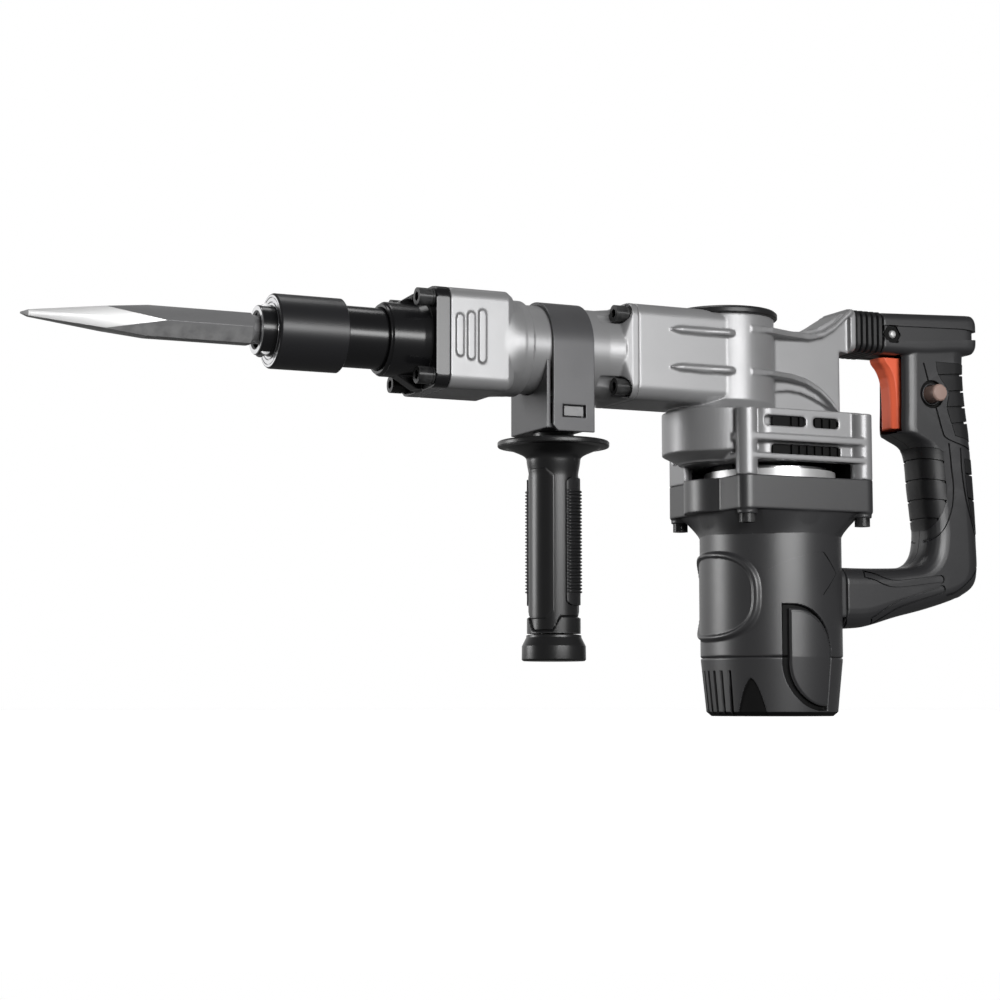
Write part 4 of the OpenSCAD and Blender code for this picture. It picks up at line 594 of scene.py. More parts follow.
def front_cover():
    """The square black cover and the gloss barrel on its front."""
    plate = cast("cover_plate", "front_cover", 0.5, 5)
    dress(plate, "front_cover", "black_steel")
    front, back, r = COVER[0].x, COVER[1].x - 9.5, 21.3
    outline = rounded(
        [
            (back, 17.6, 0), (front + 0.8, 17.6, 0), (front - 0.05, 18.4, 0.3), (front - 0.05, r - 1.2, 0.5),
            (front + 1.6, r - 0.9, 0), (front + 1.8, r - 0.1, 0), (front + 2.4, r, 0.3), (back, r, 0),
        ],
        4,
    )
    barrel = turned("cover_barrel", outline, centre=(0, AXIS))
    dress(barrel, None, "black_steel")


def barrel_bore(x0, x1, r):
    """A solid round bar on the barrel's axis, which cuts a bore."""
    return loft([[(x, r * cos(a), AXIS + r * sin(a)) for a in around(96)] for x in (x0, x1)])


def box_edge(a, half_a, half_b, corner):
    """How far out a box's edge with cut corners is, at an angle."""
    return min(half_a / max(abs(cos(a)), 0.01), half_b / max(abs(sin(a)), 0.01), corner)


def hammer_case():
    """The square case, which runs over into the round barrel behind it."""
    case = cad_copy("hammer_case_casting", "hammer_case")
    half_width, half_height, corner_r, barrel_r = 26.9, 28.8, 31.2, 28.3
    start, length, steps = -194, 17.2, 12
    rings = []
    for k in range(steps + 1):
        t = k / steps
        ring = []
        for a in around(160):
            corner = corner_r + 2.4 * (1 - abs(abs(cos(a)) - abs(sin(a))) ** 2)
            square = box_edge(a, half_width, half_height, corner)
            r = square + (barrel_r - square) * smoothstep(0, 1, t) ** 1.3
            ring.append((start + length * t, r * cos(a), AXIS + r * sin(a)))
        rings.append(ring)
    fuse(case, cut(loft(rings), barrel_bore(-230, -150, 24)))
    soften(case, 0.5, 6, 160_000)
    cut(case, barrel_bore(corners("cylinder_liner")[0].x - 1, -100, 22.2))
    dress(case, "hammer_case", "cast_aluminium")


# ---- gearcase


def spindle(height, side):
    """A long raised rib, pointed at both ends, on one side of the box and the crank housing."""
    rings = []
    start, length, steps = -84, 47, 18
    for k in range(steps + 1):
        t = k / steps
        x = start + length * t
        full = min(1, 6 * t, 6 * (1 - t)) ** 0.6
        face = 27 + 3.2 * full + 1.6 * smoothstep(-62, -44, x) * full
        z, slope = AXIS + height, face - 0.5
        section = ((25, -2.7), (slope, -1.5), (face, -0.9), (face, 1.1), (slope, 1.7), (25, 2.3))
        rings.append([(x, side * y, z + dz * (0.15 + 0.85 * full)) for y, dz in section])
    return loft(rings)


def gearcase():
    """The gearcase: the box, the crank housing, the web to the handle's plate and the fan's cage."""
    casting = cad_copy("gearcase_casting", "gearcase")
    arc = [(-12, -20), (-6.7, -18), (-0.5, -16.4), (7, -15.8), (14.6, -16.5), (22, -18.8), (29.8, -22.2),
           (36, -25.4), (41.5, -29.6), (41.5, -30.6), (-12, -30.6)]
    for y0, y1 in ((-26, -10.6), (10.6, 26)):
        cut(casting, cut(upright(arc, y0, y1), pipe(31.2, 150, 280, 90, (CRANK_X, 0))))
    for height in (13.7, -8.8):
        for side in (-1, 1):
            fuse(casting, spindle(height, side))
    soften(casting, 0.6, 6, 190_000)
    dress(casting, "gearcase", "cast_aluminium")


def crank_cap():
    """The shallow dish over the crank housing."""
    low, high = CAP[0].z + 5, CAP[1].z
    r = (CAP[1].x - CAP[0].x) / 2
    outline = rounded(
        [
            (low, 0.5, 0), (low, r - 0.6, 0.4), (low + 0.6, r, 0.5), (high - 1.4, r, 0.8), (high, r - 1.6, 1),
            (high, r - 4, 0), (high - 0.5, r - 4.6, 0), (high - 0.5, 0.5, 0),
        ],
        5,
    )
    cap = turned("crank_cap_disc", outline, centre=(CRANK_X, 0), along="z")
    dress(cap, "crank_cap", "cap_plastic")


def extruded(outline, z0, z1):
    """An upright prism from an outline of (x, y) points."""
    return loft([[(x, y, z) for x, y in outline] for z in (z0, z1)], "prism")


def cage_shade_insert():
    """Painted shade in the cage: a matt black insert of fins and a shell behind the windows and a plate at the
    back, so that the windows read dark and no white shows through.
    """
    comb = [(-21, -38.3), (-12, -38.3), (-12, -37.8), (41, -37.8)]
    for k in range(10):
        x = 41 - 5.4 * k
        comb += [(x, -40.6), (x - 1.1, -40.6), (x - 1.1, -38.9), (x - 5.4 if k < 9 else -21, -38.9)]
    fins = extruded(comb, 153.2, 178.5)
    arc = [radians(5 * k) for k in range(-5, 42)]
    shell = [(r * cos(a), r * sin(a)) for r, angles in ((39.4, arc), (38.3, arc[::-1])) for a in angles]
    rear = extruded([(39.6, -34), (41, -34), (41, 34), (39.6, 34)], 141.8, 160)
    guide = joined("cage_shade_insert", [fins, extruded(shell, 141.8, 168), rear])
    # The matt black finish here is painted shade.
    dress(guide, None, "fan_plastic")
    shroud = rounded([(141.8, 36.6, 0), (149.2, 36.6, 0), (149.2, 38.2, 0.5), (145.4, 38.2, 0),
                      (145.1, 37.9, 0), (144.8, 38.2, 0), (141.8, 38.2, 0)], 3)
    ring = turned("fan_ring", shroud, 128, along="z")
    dress(ring, None, "bright_steel")


# ---- motor


def wall_columns():
    """Angles round the motor, close together where the camera and the two brush covers are."""
    columns, a = [], 0.0
    while a < 359.99:
        columns.append(a)
        a += 0.5 if 64 <= a < 202 else 1.0 if 240 <= a < 300 else 2.5
    return columns


def polar(name, wall, heights, inner_r, columns=None):
    """A hollow form round an upright axis. wall gives its outer radius from an angle and a height."""
    columns = columns or wall_columns()
    turns = [(cos(radians(a)), -sin(radians(a))) for a in columns]
    points = [(wall(a, z) * c, wall(a, z) * s, z) for z in heights for a, (c, s) in zip(columns, turns)]
    for z in (heights[-1], heights[0]):
        points += [(inner_r * c, inner_r * s, z) for c, s in turns]
    return righted(piece_from(name, points, ring_faces(len(heights) + 2, len(columns), closed_rows=True)))


def leaf(x, z, left, right, low, high, r):
    """How far a point lies outside (+) or inside (-) an upright leaf with two broad round corners."""
    if x > right - r and z > high - r:
        return hypot(x - right + r, z - high + r) - r
    if x < left + r and z < low + r:
        return hypot(x - left - r, z - low - r) - r
    return max(left - x, x - right, low - z, z - high)


def leaf_outline(left, right, low, high, r, steps=14):
    """The same leaf as (x, z) points."""
    quarter = [pi / 2 * k / steps for k in range(steps + 1)]
    upper = [(right - r + r * cos(a), high - r + r * sin(a)) for a in quarter]
    lower = [(left + r - r * cos(a), low + r - r * sin(a)) for a in quarter]
    return upper + [(left, high)] + lower + [(right, low)]


def bare_motor(z):
    """The motor's radius at a height, without its details."""
    if z < BEVEL_Z:
        return BASE_R + (FOOT_R - BASE_R) * z / BEVEL_Z
    if z < PARTING_Z:
        return FOOT_R + (MOTOR_R - FOOT_R) * (z - BEVEL_Z) / (PARTING_Z - BEVEL_Z)
    return MOTOR_R


def cover_x(a):
    """Where an angle lies across its side's brush cover. The far cover is the near one turned half round."""
    return MOTOR_R * cos(radians(a)) * (1 if a < 180 else -1)


def motor_wall(a, z):
    """The motor's outer radius: the pad that faces the side handle, the two leaf recesses and the arch."""
    r = bare_motor(z)
    half_width, half_height, middle_z, fullness = 38.3, 26.9, 71.5, 2.7
    off = abs(MOTOR_R * radians(a - 180)) / half_width
    up = abs(z - middle_z) / half_height
    inside = (1 - (off**fullness + up**fullness) ** (1 / fullness)) * 28
    lip = smoothstep(-0.4, 1.8, inside) * PAD_OUT
    r += lip - (PAD_OUT - 0.5) * smoothstep(2.7, 4.2, inside)
    r -= 2.9 * smoothstep(0.4, -0.5, leaf(cover_x(a), z, *RECESS))
    r -= 0.9 * smoothstep(0.3, -0.3, arch(a, z))
    return r


def arch(a, z):
    """How far a point lies outside the pointed arch at the foot of the end cap, in millimetres."""
    top, half_width, middle = 22.4, 10.4, 138.6
    off = abs(MOTOR_R * radians(a - middle))
    return (off - half_width * sqrt(max(0, 1 - z / top)) ** 1.15) if z < top else 5


def slit(line, width, depth):
    """A narrow groove cutter into the motor's wall, along a line of (angle, z) points."""
    flat = [Vector((-MOTOR_R * radians(a), z)) for a, z in line]
    edge = ribbon(flat, width)
    n = len(flat)
    rings = []
    for one, other in zip(edge[:n], edge[n:][::-1]):
        ring = []
        for p, out in ((one, 1), (other, 1), (other, -depth), (one, -depth)):
            a, r = p.x / MOTOR_R, MOTOR_R + out
            ring.append((r * cos(a), r * sin(a), p.y))
        rings.append(ring)
    return loft(rings, "cutter")


def spread(start, end, step, edges=()):
    """Heights from start to end, with extra ones close to both ends for a rounded edge."""
    count = round((end - start) / step)
    return sorted({start + (end - start) * k / count for k in range(count + 1)} | set(edges))


def motor_housing():
    """The moulded motor housing: a smooth wall with its details, and the flange above it."""
    low, high = PARTING_Z + 0.2, MOTOR[1].z - 31
    def wall(a, z):
        return motor_wall(a, z) - 0.5 * smoothstep(low + 0.7, low, z)
    heights = spread(low, high + 0.5, 0.5, [low + 0.15, low + 0.3])
    body = polar("motor_housing_moulding", wall, heights, MOTOR_R - 4.5)
    chevron = [(74.4, 97.5), (65.5, 91.5), (56.4, 85.2), (65.8, 78.7), (75.0, 72.0)]
    curve = spline([(75.4, 97.4), (84, 96.4), (96.3, 94.6), (110.4, 91), (122.8, 86)], 4)
    cut(body, slit(chevron, 0.75, 1.6))
    cut(body, slit(curve, 0.45, 0.35))
    upper = cad_copy("flange_casting", "motor_housing")
    cut(upper, block((-60, -60, 0), (36.5, 60, high)), block((30, -60, 0), (70, 60, 60)))
    half_length, half_width, corner_r = 45.5, 46, 56.5
    start, height, steps = 107.5, 15, 12
    rings = []
    for k in range(steps + 1):
        t = k / steps
        ring = []
        for j in range(180):
            a = radians(2 * j)
            r = MOTOR_R - 0.1 + (box_edge(a, half_length, half_width, corner_r) - MOTOR_R) * t**1.25
            ring.append((r * cos(a), r * sin(a), start + height * t))
        rings.append(ring)
    fuse(upper, loft(rings))
    for x, y in ((-1, -1), (-1, 1), (1, -1), (1, 1)):
        cut(upper, pipe(6.2, 105, 118.4, 32, (x * 40, y * 40.5)))
    cut(upper, pipe(MOTOR_R - 4, 60, 150, 90))
    soften(upper, 0.55, 6, 90_000)
    fuse(body, upper)
    # The second finish is painted shade for the grooves, the arch and the foot.
    dress(body, "motor_housing", "motor_plastic", "fan_plastic")
    shade_grooves_arch_and_foot(body)


def shade_grooves_arch_and_foot(piece):
    """Painted shade: the deep grooves round the brush covers, the arch and the bevelled foot lie in shade and
    take the matt black finish.
    """
    for polygon in piece.data.polygons:
        x, y, z = polygon.center / MM
        a, r = degrees(atan2(-y, x)) % 360, hypot(x, y)
        groove = r < bare_motor(z) - 1.1 and leaf(x if y < 0 else -x, z, *RECESS) < 0.2
        foot = z < 2.62 or z < 24 and arch(a, z) < -0.1
        if r > FOOT_R - 4.5 and z < 70 and (groove or foot):
            polygon.material_index = 1


def end_cap():
    """The vented cap at the motor's foot. The arch and the bevel round its foot are painted black as shade."""
    low, high = 0.0, PARTING_Z - 0.2
    def wall(a, z):
        return motor_wall(a, z) - 0.5 * smoothstep(high - 0.7, high, z)
    heights = spread(low, high, 0.5, [0.15, 0.3, 2.55, 2.7, high - 0.3, high - 0.15])
    cap = polar("end_cap_moulding", wall, heights, MOTOR_R - 6.8)
    slots = []
    for k in range(6):
        slot = slab([(30, 1.2), (52, 1.2), (52, 27.2), (30, 27.2)], -1.3, 1.3)
        slots.append(moved(slot, 0, 0, -(157.5 + 9 * k), "Z"))
    cut(cap, *slots)
    foot = cad_copy("end_cap_floor", "motor_end_cap")
    cut(foot, pipe(60, -1, 50, 90, inner=MOTOR_R - 6.6))
    fuse(cap, foot)
    # The second finish is painted shade for the grooves, the arch and the foot.
    dress(cap, "motor_end_cap", "motor_plastic", "fan_plastic")
    shade_grooves_arch_and_foot(cap)


def brush_cover_leaves():
    """The two leaf-shaped covers over the carbon brushes, one on each side."""
    outline = leaf_outline(*LEAF)
    def wall(a, z):
        return bare_motor(z) + 0.1 - 0.9 * smoothstep(-1.1, 0.4, leaf(cover_x(a), z, *LEAF))
    left, right, low, high, r = LEAF
    inner = leaf_outline(left + 1.5, right - 1.5, low + 1.5, high - 1.5, r - 1.5)[2:16]
    covers = []
    for side, ends in ((1, (-60, -5)), (-1, (5, 60))):
        shell = polar("cover", wall, spread(low - 1, high + 1, 0.5), MOTOR_R - 4.2)
        keep(shell, slab([(side * x, z) for x, z in outline], *ends))
        seam = [(side * x, -side * sqrt(MOTOR_R**2 - x * x), z) for x, z in inner]
        cut(shell, tube(seam, 0.2))
        covers.append(shell)
    dress(joined("brush_cover_leaves", covers), "brush_covers", "motor_plastic")


# ---- side handle


def clamp():
    """The strap round the barrel and the folded bracket under it."""
    strap = cast("clamp_strap_sheet", "clamp_strap", 0.32, 3, 120_000)
    dress(strap, "clamp_strap", "clamp_steel")
    bracket = cast("handle_bracket_sheet", "handle_bracket", 0.4, 3, 120_000)
    dress(bracket, "handle_bracket", "clamp_steel")


def grip_radius(z):
    """The side grip's radius at a height: the slim handle, the fillet and the guard's rim."""
    slim_top, guard_low, rim_low = 139, 156.4, 157
    if z < slim_top:
        return SIDE_R
    if z < guard_low:
        return SIDE_R + 1.4 * smoothstep(slim_top, 150, z) + 12.5 * smoothstep(148.5, 157.6, z) ** 1.6
    if z < rim_low:
        return 24 + 8.4 * smoothstep(156.2, 156.8, z)
    return GUARD_R - 0.5 * smoothstep(157.4, 156.8, z) - 0.6 * smoothstep(159.4, 160, z)


def skin_arc(a, centre, turn=360):
    """How far an angle lies from a centre angle along the side grip's skin. It repeats every turn."""
    return abs((a - centre + turn / 2) % turn - turn / 2) * radians(SIDE_R)


def side_grip():
    """The side grip: a slim handle with a flat eight-cornered panel on each side, under a round guard."""
    half_width, half_height, middle_z, tabs_top = 10.3, 43.4, 99.8, 62
    def wall(a, z):
        r = grip_radius(z)
        for centre in (158, 338):
            off, up = skin_arc(a, centre), abs(z - middle_z)
            inside = min(half_width - off, half_height - up, (half_width + half_height - 4.2 - off - up) * 0.8)
            r += 0.55 * smoothstep(-0.25, 0.35, inside)
        if z < tabs_top:
            tab = 49.2 + 8.2 * smoothstep(5.5, 11.5, skin_arc(a, 143, 180))
            r += 1.25 * smoothstep(tab + 0.5, tab - 0.3, z) - 0.9 * smoothstep(0.7, 0.2, abs(z - tab))
        return r
    heights = spread(47.9, 139, 0.55) + spread(139.4, 156, 0.6)
    heights += [156.2, 156.35, 156.5, 156.65, 156.8, 157.0, 157.3, 158.2, 159.3, 159.6, 159.8, 160]
    columns = [1.5 * k for k in range(240)]
    grip = polar("side_grip_moulding", wall, heights, 7.2, columns)
    moved(grip, SIDE_X, 0)
    fuse(grip, pipe(12, 60, GRIP[1].z, 96, (SIDE_X, 0), inner=4.1))
    for turn in PAD_TURNS:
        cut(grip, pad_shape(turn, 0.25, SIDE_R - 1.6))
    dress(grip, "side_grip", "side_grip_plastic")


def pad_shape(turn, more, floor_r):
    """The rounded upright form that bounds one ribbed pad, turned to its place."""
    low, high, half = 64.2 - more, 138.2 + more, 8.7 + more
    corner = 4.5
    outline = rounded([(-half, 100, 0), (-half, low, corner), (half, low, corner), (half, high, corner),
                       (-half, high, corner), (-half, 101, 0)], 6)
    return moved(slab(outline, floor_r, 24), SIDE_X, 0, -(turn + 90), "Z")


def side_pads():
    """The two ribbed soft pads in the sides of the grip."""
    pads, pitch = [], 1.95
    for turn in PAD_TURNS:
        def wall(a, z):
            off = skin_arc(a, turn)
            ribbed = smoothstep(8.2, 6.4, off) * smoothstep(70.2, 71.4, z) * smoothstep(132.2, 131, z)
            wave = smoothstep(0.15, 0.75, sin(pi * (z - 71) / pitch) ** 2)
            return SIDE_R + 1.25 + 0.95 * ribbed * wave - 0.5 * smoothstep(7.2, 9.2, off)
        columns = [turn - 45 + 2 * k for k in range(46)] + [turn + 45 + 15 * k for k in range(1, 18)]
        ring = polar("pad", wall, spread(63, 140, 0.26), 9, sorted(a % 360 for a in columns))
        moved(ring, SIDE_X, 0)
        pads.append(keep(ring, pad_shape(turn, 0, SIDE_R - 1.5)))
    dress(joined("side_pads", pads), "side_grip_pads", "grip_rubber")


def side_grip_end():
    """The flared cap at the side grip's foot."""
    low = GRIP_CAP[0].z
    outline = rounded(
        [
            (low + 15.2, 0.5, 0), (low + 15.2, 15, 0), (low + 14.9, 16, 0.3), (low + 13.6, 16.1, 0.4),
            (low + 8.6, 18.6, 0.7), (low + 0.8, 18.7, 0.8), (low, 17.8, 0.5), (low, 0.5, 0),
        ],
        5,
    )
    cap = turned("side_grip_end", outline, centre=(SIDE_X, 0), along="z")
    dress(cap, "side_grip_cap", "side_grip_plastic")


# ---- rear handle
# Points on the handle are x and the height over the barrel's axis, both in millimetres.

HANDLE_HALF, BAR_HALF = 16.8, 18.0
# Inner and outer edge of the grip and the lower arm, and the radius of the front corners.
GRIP_LINE = [
    (88.6, 16, 138.5, 18, 9.5), (88.5, 0, 138, 0, 9.5), (88.3, -18, 139.4, -18, 9.5),
    (88, -35, 141.6, -34, 9.5),
    (91, -38.2, 142, -39, 10), (101.5, -43.5, 142.8, -45, 10), (104.8, -52, 143.4, -54, 11.5),
    (106.5, -70, 144.6, -72, 11.5), (108.6, -87, 145.6, -90, 11.5), (109.6, -99, 146.2, -107, 11.5),
    (108, -110, 146.3, -122, 11.5), (104, -116.5, 143, -132.5, 11.5), (97.5, -120.2, 131, -139.8, 11.5),
    (88, -121.6, 109, -146.8, 10), (75, -122.2, 85, -152.6, 10), (60, -122.5, 62, -158.8, 10),
    (44.5, -122.5, 44.5, -160, 10),
]
FRONT_PAD = [(80, -45), (100.2, -45.2), (112.9, -46.4), (116.9, -48.4), (117.6, -58), (119, -71.7),
             (118.7, -78.6), (116.4, -85.5), (112.6, -93), (107.6, -99.6), (100, -103), (80, -104)]
PAD_RIBS = [[(80, -54.6), (86.9, -53.6), (95, -51.6), (118, -54.8)],
            [(80, -66.2), (88.2, -65.4), (95.8, -64.2), (120, -67.6)],
            [(80, -78.8), (88.9, -78), (95.5, -76.8), (120, -79.6)],
            [(80, -90.6), (90.2, -89.8), (99.3, -89), (114, -90.8)]]
LADDER = [(112.7, 8.5), (114.6, 0), (121.9, -10), (120.6, -20), (124, -30.4), (126, -36), (129, -38),
          (152, -42)]
LOWER_LADDER = [(133.1, -52), (133.6, -61.8), (134.4, -70), (136.2, -81), (140.1, -92.2), (152, -108)]
LADDER_GAPS = [[(112, -0.2), (152, 3.6)], [(118, -10.3), (152, -6.8)], [(117, -20.4), (152, -16.8)],
               [(120, -31), (152, -26)], [(130, -61.4), (152, -61.9)], [(130, -76.4), (152, -79)]]
OUTER_LINE = [(121.3, -42.5), (122.3, -52), (123, -59.6), (124.1, -70), (123, -81.8), (118.8, -93),
              (112.8, -101.4), (104, -106.8), (92, -109)]
BAND_LINE = [(103.2, 7.5), (106.4, -3.3), (112.4, -21.6), (116.4, -34.3), (119.2, -39.3), (128, -42.6),
             (148, -48)]
REAR_LINE = [(130.1, -45), (130.4, -54), (131, -62), (133.7, -78), (140.5, -98.2), (146, -106)]
UPPER_PILL = [(58, -126.6), (66, -128.6), (71, -130.8), (78, -132.4), (88, -131.9), (113.5, -128.6)]
LOWER_PILL = [(64, -155.4), (71.6, -150.4), (79.4, -145.8), (90, -142), (114.2, -134.8)]
GUARD_LINE = [(150, -116.5), (143.6, -120.5), (136.4, -127.6), (126, -135.8), (118, -138.6)]
SOCKET_LINE = [(43.8, -127), (41.6, -134), (41, -141), (42.4, -150), (46.5, -159.5)]


def rounded_section(a, b, half, front, rear, steps=6):
    """Points round a section from edge a to edge b that is twice half wide, with two corner radii."""
    a, b = Vector(a), Vector(b)
    reach = (b - a).length / 2
    ahead = (b - a).normalized()
    middle = (a + b) / 2
    front, rear = min(front, reach), min(rear, reach)
    points = []
    for cu, cy, r, start in ((reach - rear, half - rear, rear, 0), (front - reach, half - front, front, 1),
                             (front - reach, front - half, front, 2), (reach - rear, rear - half, rear, 3)):
        for k in range(steps + 1):
            turn = pi / 2 * (start + k / steps)
            p = middle + ahead * (cu + r * cos(turn))
            points.append((p.x, cy + r * sin(turn), AXIS + p.y))
    return points


def grip_mass(inset=0.0):
    """The swept grip and lower arm, shrunk by inset."""
    rings = []
    for x0, z0, x1, z1, front in spline(GRIP_LINE, 5):
        a, b = Vector((x0, z0)), Vector((x1, z1))
        pull = (b - a).normalized() * inset
        corner = max(0.6, front - inset)
        rings.append(rounded_section(a + pull, b - pull, HANDLE_HALF - inset, corner, 11.5 - inset))
    return loft(rings, "grip")


def bar_mass(inset=0.0):
    """The top bar, which rises a little to its rounded rear end, shrunk by inset."""
    rings = []
    end = 145.6
    stations = [BOOT[1].x + inset + 0.01] + [80 + 3 * k for k in range(20)]
    stations += [end - 6 + 6 * sin(pi / 2 * k / 7) for k in range(1, 8)]
    for x in stations:
        back = max(0, x - end + 6)
        shrink = 6 - sqrt(max(0, 36 - back * back)) + inset
        low = 12 + 3 * smoothstep(98, 140, x) + shrink
        high = 37.5 + 3 * (x - 73.3) / 66 - shrink
        x = x - inset if back else x
        ring = rounded_section((0, low), (0, high), BAR_HALF - min(shrink, 4 + inset), 5, 5)
        rings.append([(x, y, z) for _, y, z in ring])
    return loft(rings, "bar")


def ribbon(line, width):
    """A strip of a given width along a line, as an outline."""
    line = [Vector(p) for p in line]
    one, other = [], []
    for i, p in enumerate(line):
        ahead = (line[min(i + 1, len(line) - 1)] - line[max(i - 1, 0)]).normalized()
        side = Vector((-ahead.y, ahead.x)) * width / 2
        one.append(p + side)
        other.append(p - side)
    return one + other[::-1]


def upright(outline, y0=-40, y1=40):
    """A prism across the handle, from (x, height over the axis) points."""
    return slab([(x, AXIS + z) for x, z in outline], y0, y1)


def outlined(line, half, width=1.2):
    """The line round a pill: it starts square and ends round."""
    middle = spline(line, 3)
    edge, count, tip = ribbon(middle, 2 * half), len(middle), Vector(middle[-1])
    side = edge[count - 1] - tip
    ahead = Vector((side.y, -side.x))
    end = [tip + side * cos(a) + ahead * sin(a) for a in [pi * k / 8 for k in range(1, 8)]]
    edge = edge[:count] + end + edge[count:]
    return edge + edge[:1], width


def engraving(lines, depth):
    """Cutters for narrow grooves along lines on both sides of the grip."""
    sides = ((-40, -4), (4, 40))
    strips = [upright(ribbon(line, width), *side) for line, width in lines for side in sides]
    for strip in strips[1:]:
        fuse(strips[0], strip)
    return cut(strips[0], grip_mass(depth))


def hollow(body):
    """Cuts the handle's hidden spaces: for the switch, the trigger, the lock button, the bolt, the screws and
    the cord's gland."""
    pin_x = 95
    spaces = [
        block((76.3, -12.4, AXIS + 15), (129.5, 12.4, AXIS + 34.5)),
        block((pin_x - 8, -12, AXIS - 36), (pin_x + 36, 12, AXIS + 16)),
        block((pin_x + 22, -9, AXIS - 108), (pin_x + 40, 9, AXIS - 28)),
        block((56, -9.5, AXIS - 153), (70, 9.5, AXIS - 129)),
        block((43, -9.1, AXIS - 153.3), (57, 9.1, AXIS - 129.1)),
        block((70, -8.35, AXIS - 36.6), (110, 8.35, AXIS + 12.4)),
        block((72, -6.4, AXIS + 18.2), (78, 6.4, AXIS + 31.3)),
    ]
    for space in spaces:
        cut(body, space)
    holes = [across(9, BUTTON_X, BUTTON_Z, -40, -14.2), across(5.8, BUTTON_X, BUTTON_Z, -20, -5)]
    holes += [across(6.5, BOLT_X, BOLT_Z, -40, -14.4, 6), across(3.1, BOLT_X, BOLT_Z, -15, 40),
              across(5.2, BOLT_X, BOLT_Z, 15, 40)]
    cut(body, *holes)
    screws = []
    for x, z in ((134, 22), (129, -44), (133, -118), (84, -136)):
        screws += [across(3.8, x, z, 10.6, 40), across(2.1, x, z, -12, 12)]
    cut(body, *screws)
    gland = turned("gland", [(-22, 0.1), (-22, 3), (12, 3), (12, 5.02), (24, 5.02), (24, 0.1)], 32, along="z")
    cut(body, moved(gland, 128, AXIS - 124, 135, "Y"))


def handle_shells():
    """The two halves of the rear handle, with their recesses, engraved lines and hidden spaces."""
    body = grip_mass()
    fuse(body, bar_mass())
    soften(body, 0.6, 5, 90_000)
    band = [(70, 19.6), (100, 20.6), (130, 23.4), (150, 25.2), (150, 29.3), (134, 31), (107, 30.2),
            (78, 29.3), (70, 29.2)]
    cut(body, cut(upright(band, -30, 30), bar_mass(1.7)))
    cut(body, upright([(143.4, 26.6), (152, 25), (152, 31.4), (143.4, 29.6)], -30, 30))
    lines = [(spline(line, 3), 1.35) for line in (OUTER_LINE, BAND_LINE, REAR_LINE, GUARD_LINE, SOCKET_LINE)]
    lines += [outlined(UPPER_PILL, 2.1), outlined(LOWER_PILL, 2.1)]
    cut(body, engraving(lines, 1.3))
    for zone in (FRONT_PAD, ladder_zone(LADDER), ladder_zone(LOWER_LADDER)):
        cut(body, cut(upright(grown(zone, 0.3)), grip_mass(2.2)))
    hollow(body)
    seam = block((40, -0.22, 0), (160, 0.22, 300))
    cut(body, cut(cut(seam, grip_mass(0.7)), bar_mass(0.7)))
    other = linked("handle_shell_right", body.data.copy())
    cut(body, block((0, 0.01, 0), (200, 60, 300)))
    cut(other, block((0, -60, 0), (200, -0.01, 300)))
    body.name = "handle_shell_left"
    dress(body, "rear_handle_left", "handle_plastic")
    dress(other, "rear_handle_right", "handle_plastic")


def across(r, x, z, y0, y1, sides=40):
    """A round cutter across the handle."""
    circle = [(x + r * cos(a), AXIS + z + r * sin(a)) for a in around(sides)]
    return loft([[(p, y, q) for p, q in circle] for y in (y0, y1)], "cutter")


def ladder_zone(line):
    """The outline of a ladder pad: its front line, closed behind the grip."""
    return spline(line, 3) + [Vector((152, line[0][1]))]


def grown(outline, by):
    """An outline with its corners pushed out from its middle."""
    middle = sum((Vector(p) for p in outline), Vector((0, 0))) / len(outline)
    return [Vector(p) + (Vector(p) - middle).normalized() * by for p in outline]


def grip_pads():
    """The soft pads: the ribbed one under the fingers and the two ladders behind the palm."""
    front = grip_mass(-0.25)
    keep(front, upright(FRONT_PAD))
    cut(front, grip_mass(2.0))
    for line in PAD_RIBS:
        cut(front, cut(upright(ribbon(spline(line, 3), 1.6)), grip_mass(1.2)))
    dress(front, "grip_front_pad", "grip_rubber")
    ladders = []
    for line in (LADDER, LOWER_LADDER):
        pad = grip_mass(-0.35)
        keep(pad, upright(ladder_zone(line)))
        cut(pad, grip_mass(2.0))
        ladders.append(pad)
    for line in LADDER_GAPS:
        for pad in ladders:
            cut(pad, cut(upright(ribbon(line, 1.5)), grip_mass(1.5)))
    dress(joined("grip_ladders", ladders), "grip_rear_pads", "grip_rubber")


def trigger():
    """The trigger, with a narrow front face between two broad bevels."""
    front = [(10.7, 77.2), (7.6, 78.3), (4, 81.4), (-1.4, 84), (-7.4, 85.2), (-17.6, 85.8), (-34.1, 85.9)]
    rings = []
    for z, x in spline(front, 4):
        rings.append([(x, -4, AXIS + z), (x + 0.7, -5.6, AXIS + z), (x + 3, -8, AXIS + z), (102, -8, AXIS + z),
                      (102, 8, AXIS + z), (x + 3, 8, AXIS + z), (x + 0.7, 5.6, AXIS + z), (x, 4, AXIS + z)])
    lever = cad_copy("trigger_lever", "trigger")
    keep(lever, loft(rings))
    soften(lever, 0.3, 3, 60_000)
    dress(lever, "trigger", "trigger_plastic")


